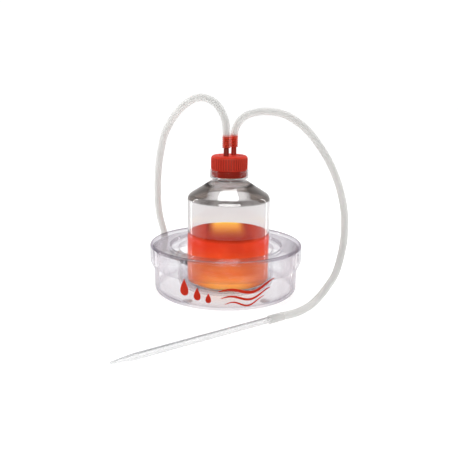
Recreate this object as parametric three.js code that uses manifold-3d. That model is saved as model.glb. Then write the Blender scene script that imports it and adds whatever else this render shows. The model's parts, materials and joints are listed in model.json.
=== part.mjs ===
// Benchtop suction pump: a clear round base with a diaphragm pump behind its bottle well, a collecting
// bottle with a screw cap and two ports, and the hoses that join the bottle to the base and to a pipette.
// Millimetres, +Z up. The origin is the middle of the base, on the bench. The front is -Y.
import * as THREE from 'three';
import { mergeVertices } from 'three/addons/utils/BufferGeometryUtils.js';
import Module from 'manifold-3d';

const wasm = await Module();
wasm.setup();

// ---------------------------------------------------------------- driving dimensions
const GAP = 0.3; // clearance between pieces that touch

const base = {
  footHeight: 1.5,
  trayRadius: 75, // outside, above the bottom corner
  trayTopRadius: 76.6,
  trayTop: 49.1,
  cornerRadius: 6,
  wall: 2.2,
  floorTop: 3.9,
  lidRadius: 80,
  lidTop: 53,
  skirtBottom: 31,
  deckHeight: 51.4,
  ledgeHeight: 48,
  ledgeRadius: 59,
  wellRadius: 49.6,
  wellFloor: 10,
  lidWall: 1.9,
};

const bottle = {
  x: 2.4, // the bottle stands a little to one side in its well
  radius: 43.2,
  wall: 1.6,
  bottom: base.wellFloor + GAP,
  shoulderRadius: 17.1,
  shoulderTop: 120,
  shoulderSlope: 0.633,
  collarRadius: 20,
  collarTop: 130.8,
  finishRadius: 14.6,
  mouthRadius: 13,
  mouth: 139.6,
  threadPitch: 4.23,
  threadRidge: 0.9,
  liquidTop: 64.2,
};

const cap = {
  bottom: 123.8,
  bandTop: 131.1,
  top: 145.3,
  radius: 19.15,
  ribDepth: 0.55,
  ribs: 44,
  bandRadius: 17.3,
  bore: 15.8,
  hole: 10.9,
  plateUnderside: 143.4,
};

const port = {
  places: [[-3.5, -5.2], [4.6, 5.2]], // vacuum and suction, from the bottle's axis
  neckRadius: 2.7,
  bore: 1.3,
  barbRoot: 2,
  barbCrest: 2.45,
  barbLength: 11.2,
  hoseEnd: 153.6, // the height that the hoses are pushed down to
};

const hoseRadius = 3.75;

const pump = {
  y: 59.6, // the motor's axis, behind the well
  axisHeight: 15.5,
  motorRadius: 10,
  motorHalfDepth: 7,
  motorEnds: [-22, 3],
  headX: 14,
  headRadius: 9.4,
  crankOffset: 1.6,
};

// Azimuths are in degrees from +X towards +Y.
const panel = {
  faceRadius: 77.6, // flat pads stand out of the round wall to this radius
  elbow: { azimuth: 138, height: 24, padHalf: [8, 6.4], reach: 92.5, tip: 46.8 },
  jack: { azimuth: 126, height: 15, padHalf: [7, 7] },
  powerSwitch: { azimuth: 63, height: 21, padHalf: [9, 8] },
};

// The vacuum hose from the tip of its cap barb over to the tip of the elbow behind the base.
const vacuumRoute = [
  [-1.1, -5.2, 165.1], [-1.3, -4.5, 173.4], [-2.6, -3.2, 181.6], [-5.9, -1.4, 189.4], [-10.9, 1.6, 196.6],
  [-18.4, 4.9, 201.6], [-26.8, 8.2, 203.5], [-35.6, 11.6, 201.2], [-44.8, 15.6, 194.8], [-53.2, 19.8, 185.8],
  [-60.6, 24.2, 174.4], [-66.2, 28.6, 162.6], [-70.2, 34, 146], [-72.8, 39, 131.2], [-74.6, 44.6, 111.5],
  [-75.1, 49.6, 93.8], [-74.7, 54.2, 78], [-73.2, 57.7, 66.3], [-71.2, 60.2, 57.2], [-69.5, 61.6, 50.2],
  [-68.8, 61.9, 47.6],
];

// The suction hose from the tip of its cap barb down to the bench and along it to the pipette adapter.
const suctionRoute = [
  [7, 5.2, 165.3], [8.1, 5, 171.6], [11, 4.7, 178.4], [16, 4.2, 183.9], [22.9, 3.4, 187.7],
  [31, 2.7, 189.8], [40.4, 1.7, 190.4], [56.7, 0, 188.1], [73.9, -2, 178.7], [84.4, -3.5, 169.3],
  [94, -5.1, 157.3], [104, -7, 142.2], [112.2, -9.2, 125.3], [118, -11.4, 108.6], [121.5, -13.8, 91.5],
  [122.7, -16.4, 74.3], [121.6, -19.6, 57.6], [116.2, -25.6, 34.7], [112.2, -29.2, 25.2],
  [107.6, -32.6, 19.3], [102.4, -36.8, 13.7], [97.6, -41.2, 9.2], [91.8, -47.6, 5.8], [84.9, -58, 4.1],
  [76.4, -70.1, 3.9], [66.9, -80.7, 3.9], [58.6, -86.8, 4], [52.4, -91.1, 4.2],
];

// The pipette's axis, from the adapter's hose end to the pipette's tip.
const pipetteAxis = {
  start: [51.9, -91.45, 4.2],
  tip: [-97.4, -194.1, 3],
};
const adapter = { length: 17, radius: 4.1, bore: 3.45, boreDepth: 13 };
const pipette = { radius: 3.1, bore: 2.3, taper: 22, tipRadius: 1.1, tipBore: 0.6, insertion: 12 };

// ---------------------------------------------------------------- materials
const finishes = {
  clear: { color: 0xe9ebee, roughness: 0.08, metalness: 0 },
  bottleClear: { color: 0xf2f3f2, roughness: 0.04, metalness: 0 },
  liquid: { color: 0xe8472a, roughness: 0.05, metalness: 0 },
  red: { color: 0xc8231d, roughness: 0.4, metalness: 0 },
  hose: { color: 0xdfe0e0, roughness: 0.35, metalness: 0 },
  pipette: { color: 0xeef0f1, roughness: 0.1, metalness: 0 },
  rubber: { color: 0x26272a, roughness: 0.85, metalness: 0 },
  paleRubber: { color: 0xdcdcda, roughness: 0.6, metalness: 0 },
  steel: { color: 0xa9adb2, roughness: 0.3, metalness: 1 },
  brass: { color: 0xb8964e, roughness: 0.35, metalness: 1 },
  black: { color: 0x1e1f22, roughness: 0.5, metalness: 0 },
  grey: { color: 0x8b8f95, roughness: 0.5, metalness: 0 },
  white: { color: 0xe6e4de, roughness: 0.5, metalness: 0 },
  wireRed: { color: 0xb3201c, roughness: 0.5, metalness: 0 },
  wireBlack: { color: 0x1b1b1d, roughness: 0.5, metalness: 0 },
};

const assembly = new THREE.Group();

function addPart(name, shape, finish, parent = assembly) {
  const geometry = shape.isBufferGeometry ? toGeometry(toSolid(shape)) : toGeometry(shape);
  const mesh = new THREE.Mesh(geometry, new THREE.MeshStandardMaterial(finishes[finish]));
  mesh.name = name;
  parent.add(mesh);
  return mesh;
}

// ---------------------------------------------------------------- solids
// A closed geometry as a solid that can be joined and cut.
function toSolid(geometry) {
  const bare = geometry.clone();
  bare.deleteAttribute('normal');
  bare.deleteAttribute('uv');
  const merged = mergeVertices(bare, 1e-4);
  const index = merged.index.array;
  const kept = [];
  for (let i = 0; i < index.length; i += 3) {
    const [a, b, c] = [index[i], index[i + 1], index[i + 2]];
    if (a !== b && b !== c && c !== a) kept.push(a, b, c);
  }
  const mesh = new wasm.Mesh({
    numProp: 3,
    vertProperties: new Float32Array(merged.attributes.position.array),
    triVerts: new Uint32Array(kept),
  });
  return new wasm.Manifold(mesh);
}

function toGeometry(solid) {
  const mesh = solid.getMesh();
  const geometry = new THREE.BufferGeometry();
  geometry.setAttribute('position', new THREE.BufferAttribute(mesh.vertProperties, 3));
  geometry.setIndex(new THREE.BufferAttribute(mesh.triVerts, 1));
  geometry.computeVertexNormals();
  return geometry;
}

const join = (first, ...rest) => rest.reduce((sum, next) => sum.add(next), first);
const cut = (first, ...rest) => rest.reduce((left, next) => left.subtract(next), first);

// A profile of [radius, height, corner radius] points, with each corner rounded by a short arc.
function rounded(points, steps = 3) {
  const outline = [];
  points.forEach(([r, z, corner = 0], i) => {
    const here = new THREE.Vector2(r, z);
    if (!corner) {
      outline.push(here);
      return;
    }
    const [beforeR, beforeZ] = points[i - 1];
    const [afterR, afterZ] = points[i + 1];
    const toBefore = new THREE.Vector2(beforeR, beforeZ).sub(here).normalize();
    const toAfter = new THREE.Vector2(afterR, afterZ).sub(here).normalize();
    const half = Math.acos(THREE.MathUtils.clamp(toBefore.dot(toAfter), -1, 1)) / 2;
    const reach = corner / Math.tan(half);
    const bisector = toBefore.clone().add(toAfter).normalize();
    const centre = here.clone().addScaledVector(bisector, corner / Math.sin(half));
    const first = here.clone().addScaledVector(toBefore, reach).sub(centre);
    const last = here.clone().addScaledVector(toAfter, reach).sub(centre);
    const sweep = Math.atan2(first.cross(last), first.dot(last));
    for (let step = 0; step <= steps; step += 1) {
      const turned = first.clone().rotateAround(new THREE.Vector2(), (sweep * step) / steps);
      outline.push(turned.add(centre));
    }
  });
  return outline;
}

// A solid of revolution about Z. The outline runs anticlockwise in the (radius, height) plane, and either
// starts and ends on the axis or is a ring that this function closes.
function revolve(points, segments) {
  const outline = points.map((p) => (p.isVector2 ? p : new THREE.Vector2(p[0], p[1])));
  const onAxis = outline[0].x === 0 && outline[outline.length - 1].x === 0;
  if (!onAxis) outline.push(outline[0].clone());
  return toSolid(new THREE.LatheGeometry(outline, segments).rotateX(Math.PI / 2));
}

function ring(inner, outer, bottom, top, segments = 16) {
  return revolve([[inner, bottom], [outer, bottom], [outer, top], [inner, top]], segments);
}

function rod(radius, bottom, top, segments = 16) {
  const geometry = new THREE.CylinderGeometry(radius, radius, top - bottom, segments);
  return toSolid(geometry.rotateX(Math.PI / 2).translate(0, 0, (top + bottom) / 2));
}

function block([x0, x1], [y0, y1], [z0, z1]) {
  const geometry = new THREE.BoxGeometry(x1 - x0, y1 - y0, z1 - z0);
  return toSolid(geometry.translate((x0 + x1) / 2, (y0 + y1) / 2, (z0 + z1) / 2));
}

const shift = (solid, x, y, z = 0) => solid.translate([x, y, z]);

// Turns a solid built along +Z so that it runs along +X.
const alongX = (solid) => solid.rotate([0, 90, 0]);

// Turns a solid built along +Y, as if straight out of the wall, so that it points out at an azimuth.
const facing = (solid, azimuth) => solid.rotate([0, 0, azimuth - 90]);

// A plane outline in (Y, Z), pulled along X from x0 to x1.
function extrudeX(shape, x0, x1, curveSegments = 6) {
  const geometry = new THREE.ExtrudeGeometry(shape, { depth: x1 - x0, bevelEnabled: false, curveSegments });
  const basis = new THREE.Matrix4().makeBasis(
    new THREE.Vector3(0, 1, 0),
    new THREE.Vector3(0, 0, 1),
    new THREE.Vector3(1, 0, 0),
  );
  return toSolid(geometry.applyMatrix4(basis).translate(x0, 0, 0));
}

function circleShape(radius) {
  return new THREE.Shape().absarc(0, 0, radius, 0, Math.PI * 2, false);
}

// A tube of regular cross-section along a smooth curve through the points.
function tube(points, radius, sides, steps) {
  const path = new THREE.CatmullRomCurve3(points.map((p) => new THREE.Vector3(...p)), false, 'centripetal');
  const section = new THREE.Shape();
  for (let i = 0; i < sides; i += 1) {
    const angle = (i / sides) * Math.PI * 2;
    const [x, y] = [radius * Math.cos(angle), radius * Math.sin(angle)];
    if (i) section.lineTo(x, y);
    else section.moveTo(x, y);
  }
  section.closePath();
  return toSolid(new THREE.ExtrudeGeometry(section, { steps, extrudePath: path, bevelEnabled: false }));
}

function polar(azimuth, radius, height) {
  const angle = THREE.MathUtils.degToRad(azimuth);
  return [radius * Math.cos(angle), radius * Math.sin(angle), height];
}

// The outline of a hose barb along +Z: sharp edges that face back, each tapering towards the tip.
function barbOutline(bottom, length, teeth = 4) {
  const outline = [];
  const pitch = length / teeth;
  for (let tooth = 0; tooth < teeth; tooth += 1) {
    const z = bottom + tooth * pitch;
    outline.push([port.barbCrest, z], [port.barbRoot, z + pitch * 0.92]);
  }
  outline.push([port.barbRoot - 0.3, bottom + length]);
  return outline;
}

// ---------------------------------------------------------------- base
const screwCircle = 34;
const screwAzimuths = [90, 210, 330];
const mountLugs = [[-28, -5.6], [27.6, -5.6]]; // pump lugs, from the pump's own axis
const lug = { bottom: 4.8, top: 6.2 };

// Flat pads on the tray wall for the fittings, with a hole through each.
function trayPad({ azimuth, height, padHalf: [halfWidth, halfHeight] }) {
  const depth = [base.trayRadius - base.wall - 1, panel.faceRadius];
  return facing(block([-halfWidth, halfWidth], depth, [height - halfHeight, height + halfHeight]), azimuth);
}

// Built pointing out along +Y at a height, then turned to an azimuth.
const outward = (solid, height) => shift(solid.rotate([-90, 0, 0]), 0, 0, height);

function wallHole({ azimuth, height }, radius) {
  return facing(outward(rod(radius, 60, 90), height), azimuth);
}

function baseTray() {
  const { trayRadius, trayTopRadius, trayTop, cornerRadius, wall, floorTop, footHeight } = base;
  const shell = revolve(rounded([
    [0, footHeight],
    [trayRadius, footHeight, cornerRadius],
    [trayTopRadius, trayTop],
    [trayTopRadius - wall, trayTop],
    [trayRadius - wall, floorTop, cornerRadius - wall],
    [0, floorTop],
  ], 3), 40);
  const screwBosses = screwAzimuths.map((azimuth) => {
    const boss = rod(4, floorTop - 1, base.wellFloor - base.lidWall - GAP, 12);
    return shift(boss, ...polar(azimuth, screwCircle, 0));
  });
  const lugBosses = mountLugs.map(([x, y]) => (
    shift(rod(3, floorTop - 1, lug.bottom - GAP, 12), x, pump.y + y)
  ));
  const { elbow, jack, powerSwitch } = panel;
  const pads = [elbow, jack, powerSwitch].map(trayPad);
  const switchSlot = block([-6.8, 6.8], [60, 90], [powerSwitch.height - 4.8, powerSwitch.height + 4.8]);
  const holes = [
    wallHole(elbow, 4.35),
    wallHole(jack, 4.35),
    facing(switchSlot, powerSwitch.azimuth),
    ...screwAzimuths.map((azimuth) => shift(rod(1.7, 3.4, 10, 8), ...polar(azimuth, screwCircle, 0))),
    ...mountLugs.map(([x, y]) => shift(rod(1.6, 2.6, 8, 8), x, pump.y + y)),
  ];
  return cut(join(shell, ...screwBosses, ...lugBosses, ...pads), ...holes);
}

function baseLid() {
  const b = base;
  const deckUnder = b.deckHeight - b.lidWall;
  const shell = revolve(rounded([
    [0, b.wellFloor - b.lidWall],
    [b.wellRadius - 1 + b.lidWall, b.wellFloor - b.lidWall, 5],
    [b.wellRadius + b.lidWall, b.ledgeHeight - b.lidWall],
    [b.ledgeRadius + 1.4, b.ledgeHeight - b.lidWall],
    [b.ledgeRadius + 2, deckUnder],
    [b.lidRadius - 2.2, deckUnder],
    [b.lidRadius - 2.2, b.skirtBottom + 4.4],
    [b.lidRadius - 2.9, b.skirtBottom],
    [b.lidRadius - 1.9, b.skirtBottom],
    [b.lidRadius, b.skirtBottom + 4.6, 3],
    [b.lidRadius, b.lidTop, 2.4],
    [b.lidRadius - 4.6, b.lidTop],
    [b.lidRadius - 5.6, b.deckHeight],
    [b.ledgeRadius, b.deckHeight],
    [b.ledgeRadius - 0.9, b.ledgeHeight],
    [b.wellRadius, b.ledgeHeight, 1.2],
    [b.wellRadius - 1.2, b.wellFloor, 4],
    [0, b.wellFloor],
  ], 2), 40);
  const holes = screwAzimuths.map((azimuth) => {
    const shank = rod(1.8, 5, 12, 10);
    const sink = revolve([[0, 8.2], [1.8, 8.2], [3.5, 10.1], [3.5, 12], [0, 12]], 12);
    return shift(join(shank, sink), ...polar(azimuth, screwCircle, 0));
  });
  return cut(shell, ...holes);
}

function lidScrew() {
  const body = revolve([[0, 3.8], [1.4, 3.8], [1.4, 8.2], [2.9, 9.7], [0, 9.7]], 12);
  const slots = [block([-1.6, 1.6], [-0.3, 0.3], [9, 11]), block([-0.3, 0.3], [-1.6, 1.6], [9, 11])];
  return cut(body, ...slots);
}

addPart('base_tray', baseTray(), 'clear');
addPart('base_lid', baseLid(), 'clear');
for (let i = 0; i < 4; i += 1) {
  const footTop = base.footHeight - GAP;
  const foot = revolve(rounded([[0, 0], [5, 0, 0.4], [5, footTop], [0, footTop]], 1), 16);
  addPart(`rubber_foot_${i + 1}`, shift(foot, ...polar(45 + 90 * i, 56, 0)), 'paleRubber');
}
screwAzimuths.forEach((azimuth, i) => {
  addPart(`lid_screw_${i + 1}`, shift(lidScrew(), ...polar(azimuth, screwCircle, 0)), 'steel');
});

// ---------------------------------------------------------------- fittings on the base wall
const nutBack = panel.faceRadius - 8.2; // the nuts' inner faces, behind the wall

function vacuumElbow() {
  const { azimuth, height, reach, tip } = panel.elbow;
  const flange = outward(rod(6, panel.faceRadius + GAP, panel.faceRadius + 2.5, 6), height);
  const stub = outward(rod(4, nutBack, panel.faceRadius + 1), height);
  const arm = outward(rod(3.4, panel.faceRadius + 2, reach + 3.4, 12), height);
  const barbBase = tip - port.barbLength;
  const post = revolve([
    [0, height], [2.9, height], [2.9, barbBase - 0.8], [port.barbRoot, barbBase - 0.6],
    ...barbOutline(barbBase, port.barbLength), [0, tip],
  ], 12);
  const bores = [
    outward(rod(port.bore, 60, reach, 8), height),
    shift(rod(port.bore, height, tip + 1, 8), 0, reach),
  ];
  return facing(cut(join(flange, stub, arm, shift(post, 0, reach)), ...bores), azimuth);
}

// The inner elbow screws onto the stub behind the wall, and its barb points along the wall to the pump.
const innerElbowRadius = nutBack - 3.4;
function innerElbow() {
  const { azimuth, height } = panel.elbow;
  const hub = outward(rod(4.2, innerElbowRadius - 3.2, nutBack - GAP, 8), height);
  const arm = alongX(revolve([
    [0, 0], [2.7, 0], [2.7, 5.4], [port.barbRoot, 5.6], ...barbOutline(6, 8, 3), [0, 14],
  ], 12));
  const bores = [
    outward(rod(port.bore, innerElbowRadius, 80, 8), height),
    shift(alongX(rod(port.bore, 0, 30, 8)), 0, innerElbowRadius, height),
  ];
  return facing(cut(join(hub, shift(arm, 0, innerElbowRadius, height)), ...bores), azimuth);
}

function wallNut({ azimuth, height }, outer) {
  return facing(outward(cut(rod(outer, nutBack, nutBack + 2.1, 6), rod(4.35, 60, 80)), height), azimuth);
}

function powerJack() {
  const { azimuth, height } = panel.jack;
  const face = panel.faceRadius;
  const shell = revolve([
    [0, 60], [3.2, 60], [3.2, 63], [4, 63], [4, face + GAP], [5.6, face + GAP], [5.6, face + 2],
    [2.8, face + 2], [2.8, face - 7.7], [1, face - 7.7], [1, face + 0.6], [0, face + 1.2],
  ], 16);
  return facing(outward(shell, height), azimuth);
}

// The rocker turns about a vertical pin just behind the face of its frame.
const rocker = { pivotRadius: panel.faceRadius + 0.2, halfLength: 4.7, halfHeight: 3.2, tilt: 8 };
function switchBody() {
  const { azimuth, height: h } = panel.powerSwitch;
  const frame = block([-8, 8], [panel.faceRadius + GAP, panel.faceRadius + 1.8], [h - 5.8, h + 5.8]);
  const shell = block([-6.4, 6.4], [64, panel.faceRadius + 1], [h - 4.4, h + 4.4]);
  const legs = [-3.6, 3.6].map((x) => block([x - 0.3, x + 0.3], [60.5, 65], [h - 1.4, h + 1.4]));
  const pocket = block([-5.4, 5.4], [panel.faceRadius - 4.4, 80], [h - 3.6, h + 3.6]);
  return facing(cut(join(frame, shell, ...legs), pocket), azimuth);
}

function switchRocker() {
  const { halfLength, halfHeight, pivotRadius, tilt } = rocker;
  const { azimuth, height } = panel.powerSwitch;
  const outline = new THREE.Shape([
    [-halfLength, 2.6], [-halfLength, -0.6], [0, -3], [halfLength, -0.6], [halfLength, 2.6], [0, 1.5],
  ].map(([x, y]) => new THREE.Vector2(x, y)));
  const options = { depth: halfHeight * 2, bevelEnabled: false };
  const solid = toSolid(new THREE.ExtrudeGeometry(outline, options)).rotate([0, 0, -tilt]);
  return facing(shift(solid, 0, pivotRadius, height - halfHeight), azimuth);
}

addPart('vacuum_elbow', vacuumElbow(), 'white');
addPart('elbow_nut', wallNut(panel.elbow, 6.4), 'white');
addPart('inner_elbow', innerElbow(), 'white');
addPart('power_jack', powerJack(), 'black');
addPart('jack_nut', wallNut(panel.jack, 6.1), 'steel');
addPart('switch_body', switchBody(), 'black');
addPart('switch_rocker', switchRocker(), 'red');

// ---------------------------------------------------------------- pump
// Built about the motor's axis, which runs along X.
const pumpGroup = new THREE.Group();
pumpGroup.position.set(0, pump.y, 0);
assembly.add(pumpGroup);
const addPumpPart = (name, solid, finish) => addPart(name, solid, finish, pumpGroup);

// A circle about the axis with its two sides cut flat, in (Y, Z).
function flattened(radius, halfDepth) {
  const angle = Math.acos(halfDepth / radius);
  const shape = new THREE.Shape();
  shape.absarc(0, pump.axisHeight, radius, angle, Math.PI - angle, false);
  shape.absarc(0, pump.axisHeight, radius, Math.PI + angle, Math.PI * 2 - angle, false);
  shape.closePath();
  return shape;
}

const onAxis = (solid, x = 0) => shift(alongX(solid), x, 0, pump.axisHeight);
const onHead = (solid) => shift(solid, pump.headX, 0);
const headScrews = [45, 135, 225, 315].map((azimuth) => polar(azimuth, 7.6, 0));
const headScrewHoles = (bottom, top) => headScrews.map((at) => shift(rod(1.2, bottom, top, 8), ...at));
const valveOffset = 3.6;

function motorCan() {
  const [left, right] = pump.motorEnds;
  const can = extrudeX(flattened(pump.motorRadius, pump.motorHalfDepth), left, right);
  const bearing = onAxis(rod(3, 0, 2, 12), right - 0.5);
  return cut(join(can, bearing), onAxis(rod(1.4, 0, 6, 10), right - 4));
}

function motorEndCap() {
  const left = pump.motorEnds[0];
  const plate = extrudeX(flattened(9.4, 6.5), left - 3, left - GAP);
  const slots = [-3, 3].map((y) => block([left - 8, left - 1], [y - 0.6, y + 0.6], [13.7, 17.3]));
  return cut(plate, ...slots);
}

function motorTerminal(y) {
  const left = pump.motorEnds[0];
  return block([left - 7, left - 1.4], [y - 0.3, y + 0.3], [14, 17]);
}

function motorCradle() {
  const [left, right] = [pump.motorEnds[0] + 5, pump.motorEnds[1] - 3];
  const [inner, outer] = [pump.motorRadius + GAP, pump.motorRadius + 1.1];
  const [innerSide, outerSide] = [pump.motorHalfDepth + GAP, pump.motorHalfDepth + 1.2];
  const [bottom, top] = [4.2, 15];
  const innerAngle = Math.acos(innerSide / inner);
  const profile = new THREE.Shape();
  profile.moveTo(-outerSide, bottom);
  profile.lineTo(0.9, bottom);
  profile.absarc(0, pump.axisHeight, outer, -1.48, -Math.acos(outerSide / outer), false);
  profile.lineTo(outerSide, top);
  profile.lineTo(innerSide, top);
  profile.absarc(0, pump.axisHeight, inner, -innerAngle, Math.PI + innerAngle, true);
  profile.lineTo(-innerSide, top);
  profile.lineTo(-outerSide, top);
  profile.closePath();
  const [lugX, lugY] = mountLugs[0];
  const tail = block([lugX - 3.2, left + 1], [lugY - 2.6, lugY + 1], [lug.bottom, lug.top]);
  const hole = shift(rod(1.6, 0, 12, 8), lugX, lugY);
  return cut(join(extrudeX(profile, left, right), tail), hole);
}

function crankcase() {
  const box = block([4.9, 23.2], [-7.1, 6.8], [8.4, 26]);
  const flange = onHead(rod(pump.headRadius, 24.4, 27, 24));
  const [lugX, lugY] = mountLugs[1];
  const foot = block([18, 23.2], [-7.1, -2], [lug.bottom, 9]);
  const tail = block([22, lugX + 3.2], [lugY - 1.5, lugY + 2.6], [lug.bottom, lug.top]);
  const cavity = block([6.2, 22], [-5.6, 5.6], [9.9, 23.6]);
  const throat = onHead(rod(5.8, 20, 30, 16));
  const shaftHole = onAxis(rod(3.3, -1, 3, 12), 4);
  const lugHole = shift(rod(1.6, 0, 12, 8), lugX, lugY);
  const screwHoles = headScrewHoles(24, 28).map(onHead);
  return cut(join(box, flange, foot, tail), cavity, throat, shaftHole, lugHole, ...screwHoles);
}

function eccentricCrank() {
  const disc = rod(4.4, 0, 3, 16);
  const pin = shift(rod(1.4, 2, 7, 10), 0, pump.crankOffset);
  const hub = rod(1.3, -1, 2.4, 10);
  return onAxis(cut(join(disc, pin), hub), 7);
}

// The big end is wide enough for the crank pin to pass all the way round inside it.
function connectingRod() {
  const eye = circleShape(5);
  eye.holes.push(new THREE.Path().absarc(0, 0, pump.crankOffset + 1.4 + GAP, 0, Math.PI * 2, true));
  const bigEnd = shift(extrudeX(eye, 10.6, 13.4, 12), 0, 0, pump.axisHeight);
  const shank = block([10.6, 13.4], [-1.6, 1.6], [pump.axisHeight + 4.2, 26.2]);
  const button = shift(rod(3.2, 25.8, 27, 12), 12, 0);
  return join(bigEnd, shank, button);
}

function valvePlate() {
  const plate = rod(pump.headRadius, 28.6, 30.6, 24);
  const inletRecess = shift(rod(2.6, 28, 29.5, 12), -valveOffset, 0);
  const passages = [-valveOffset, valveOffset].map((x) => shift(rod(1.1, 28, 32, 8), x, 0));
  return onHead(cut(plate, inletRecess, ...passages, ...headScrewHoles(28, 32)));
}

const headInlet = { height: 33.6, tip: -15.5 };
function pumpHead() {
  const disc = rod(pump.headRadius, 30.9, 36.4, 24);
  const inlet = shift(alongX(revolve([
    [0, 0], [2.4, 0], [2.4, 6.6], [port.barbRoot, 6.8], ...barbOutline(7.2, 8.4, 3), [0, 15.6],
  ], 12)).rotate([0, 0, 180]), 0, 0, headInlet.height);
  const outlet = shift(revolve([
    [0, 35], [2.4, 35], [2.4, 37.4], [port.barbRoot, 37.6], ...barbOutline(37.8, 4, 2), [0, 41.8],
  ], 12), valveOffset, 0);
  const cavities = [-valveOffset, valveOffset].map((x) => shift(rod(3, 30, 34.4, 12), x, 0));
  const inletBore = shift(alongX(rod(port.bore, -30, -valveOffset, 8)), 0, 0, headInlet.height);
  const outletBore = shift(rod(port.bore, 34, 50, 8), valveOffset, 0);
  const body = join(disc, inlet, outlet);
  return onHead(cut(body, ...cavities, inletBore, outletBore, ...headScrewHoles(30, 38)));
}

function headScrew([x, y]) {
  const screw = revolve([[0, 25], [0.85, 25], [0.85, 36.7], [1.7, 36.7], [1.7, 38], [0, 38]], 10);
  return onHead(shift(screw, x, y));
}

function lugScrew([x, y]) {
  const [tip, seat] = [3, lug.top + GAP];
  const head = [[1.2, seat], [2.4, seat], [2.4, seat + 1.5], [0, seat + 1.5]];
  return shift(revolve([[0, tip], [1.2, tip], ...head], 10), x, y);
}

function silencer() {
  const shell = revolve(rounded([
    [2.75, 38], [4, 38, 0.5], [4, 45.2, 0.8], [1, 45.2], [1, 43.6], [2.75, 43.6],
  ], 2), 16);
  return onHead(shift(shell, valveOffset, 0));
}

addPumpPart('motor_can', motorCan(), 'steel');
addPumpPart('motor_end_cap', motorEndCap(), 'white');
addPumpPart('motor_terminal_front', motorTerminal(-3), 'brass');
addPumpPart('motor_terminal_back', motorTerminal(3), 'brass');
addPumpPart('motor_cradle', motorCradle(), 'black');
addPumpPart('motor_shaft', onAxis(rod(1, 0, 9, 10), 0.2), 'steel');
addPumpPart('eccentric_crank', eccentricCrank(), 'brass');
addPumpPart('crankcase', crankcase(), 'grey');
addPumpPart('connecting_rod', connectingRod(), 'white');
addPumpPart('diaphragm', onHead(cut(rod(pump.headRadius, 27.3, 28.3, 24), ...headScrewHoles(27, 29))), 'rubber');
addPumpPart('valve_plate', valvePlate(), 'grey');
addPumpPart('inlet_flap', onHead(shift(rod(2.2, 28.75, 29.2, 12), -valveOffset, 0)), 'rubber');
addPumpPart('outlet_flap', onHead(shift(rod(2.2, 30.9, 31.35, 12), valveOffset, 0)), 'rubber');
addPumpPart('pump_head', pumpHead(), 'grey');
addPumpPart('exhaust_silencer', silencer(), 'white');
headScrews.forEach((at, i) => addPumpPart(`head_screw_${i + 1}`, headScrew(at), 'steel'));
mountLugs.forEach((at, i) => addPumpPart(`pump_screw_${i + 1}`, lugScrew(at), 'steel'));

// The inner hose from the inner elbow's barb to the pump head's inlet.
function fromElbow(along, rise) {
  const { azimuth, height } = panel.elbow;
  const [x, y] = polar(azimuth, innerElbowRadius, 0);
  const [alongXShare, alongYShare] = polar(azimuth - 90, along, 0);
  return [x + alongXShare, y + alongYShare, height + rise];
}
const inletTip = [pump.headX - 15.6 - GAP, pump.y, headInlet.height];
const innerHoseRoute = [
  fromElbow(14.5, 0), fromElbow(17.5, 0.2), polar(119, 65.8, 26.2), polar(112, 64.6, 30), polar(104, 63, 33),
  polar(97, 60.8, 33.7), inletTip,
];
addPart('inner_hose', tube(innerHoseRoute, 2.6, 10, 16), 'hose');

// Wires from the jack and the switch to the motor.
const terminalEnd = (side) => [pump.motorEnds[0] - 7 - GAP, pump.y + side * 3, pump.axisHeight];
const jackBack = (side) => polar(panel.jack.azimuth + side, 59, panel.jack.height);
const switchLeg = (side) => polar(panel.powerSwitch.azimuth + side, 59.6, panel.powerSwitch.height);
const wires = {
  jack_to_motor_wire: ['wireBlack', 10, [
    jackBack(-1.6), polar(123.2, 58, 15), [-31.4, 51.8, 15.2], [-31.9, 55.4, 15.5], terminalEnd(-1),
  ]],
  jack_to_switch_wire: ['wireRed', 22, [
    jackBack(1.6), polar(127.2, 57, 18), polar(123, 56, 27), polar(116, 56.2, 35), polar(107, 58.6, 42),
    polar(98, 65, 43), polar(84, 68.4, 43), polar(74, 67.8, 41), polar(65.6, 64, 34),
    polar(64.8, 59, 27), switchLeg(3.4),
  ]],
  switch_to_motor_wire: ['wireRed', 26, [
    switchLeg(-3.4), polar(59.6, 58, 26), polar(60.5, 60.5, 37), polar(68, 66.6, 45), polar(82, 69.9, 46),
    polar(98, 68.6, 45), polar(107, 64, 40.6), polar(113.5, 60.4, 34.5), [-27.6, 53.6, 27],
    [-31.6, 57.4, 20.6], [-32, 61.3, 16.8], terminalEnd(1),
  ]],
};
Object.entries(wires).forEach(([name, [finish, steps, route]]) => {
  addPart(name, tube(route, 0.6, 6, steps), finish);
});

// ---------------------------------------------------------------- bottle
const bottleGroup = new THREE.Group();
bottleGroup.position.set(bottle.x, 0, 0);
assembly.add(bottleGroup);
const addBottlePart = (name, solid, finish) => addPart(name, solid, finish, bottleGroup);

class Helix extends THREE.Curve {
  constructor(radius, pitch, turns, bottom) {
    super();
    Object.assign(this, { radius, pitch, turns, bottom });
  }

  getPoint(t, target = new THREE.Vector3()) {
    const angle = t * this.turns * Math.PI * 2;
    const height = this.bottom + t * this.turns * this.pitch;
    return target.set(this.radius * Math.cos(angle), this.radius * Math.sin(angle), height);
  }
}

function neckThread() {
  const turns = 1.5;
  const section = new THREE.Shape();
  section.absarc(0, 0, bottle.threadRidge, 0, Math.PI * 2, false);
  const path = new Helix(bottle.finishRadius, bottle.threadPitch, turns, 128.4);
  const options = { steps: 20, curveSegments: 3, extrudePath: path, bevelEnabled: false };
  return toSolid(new THREE.ExtrudeGeometry(section, options));
}

const outerShoulder = (r) => bottle.shoulderTop - bottle.shoulderSlope * (r - bottle.shoulderRadius);
const innerShoulder = (r) => outerShoulder(r) - 1.9;

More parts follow.
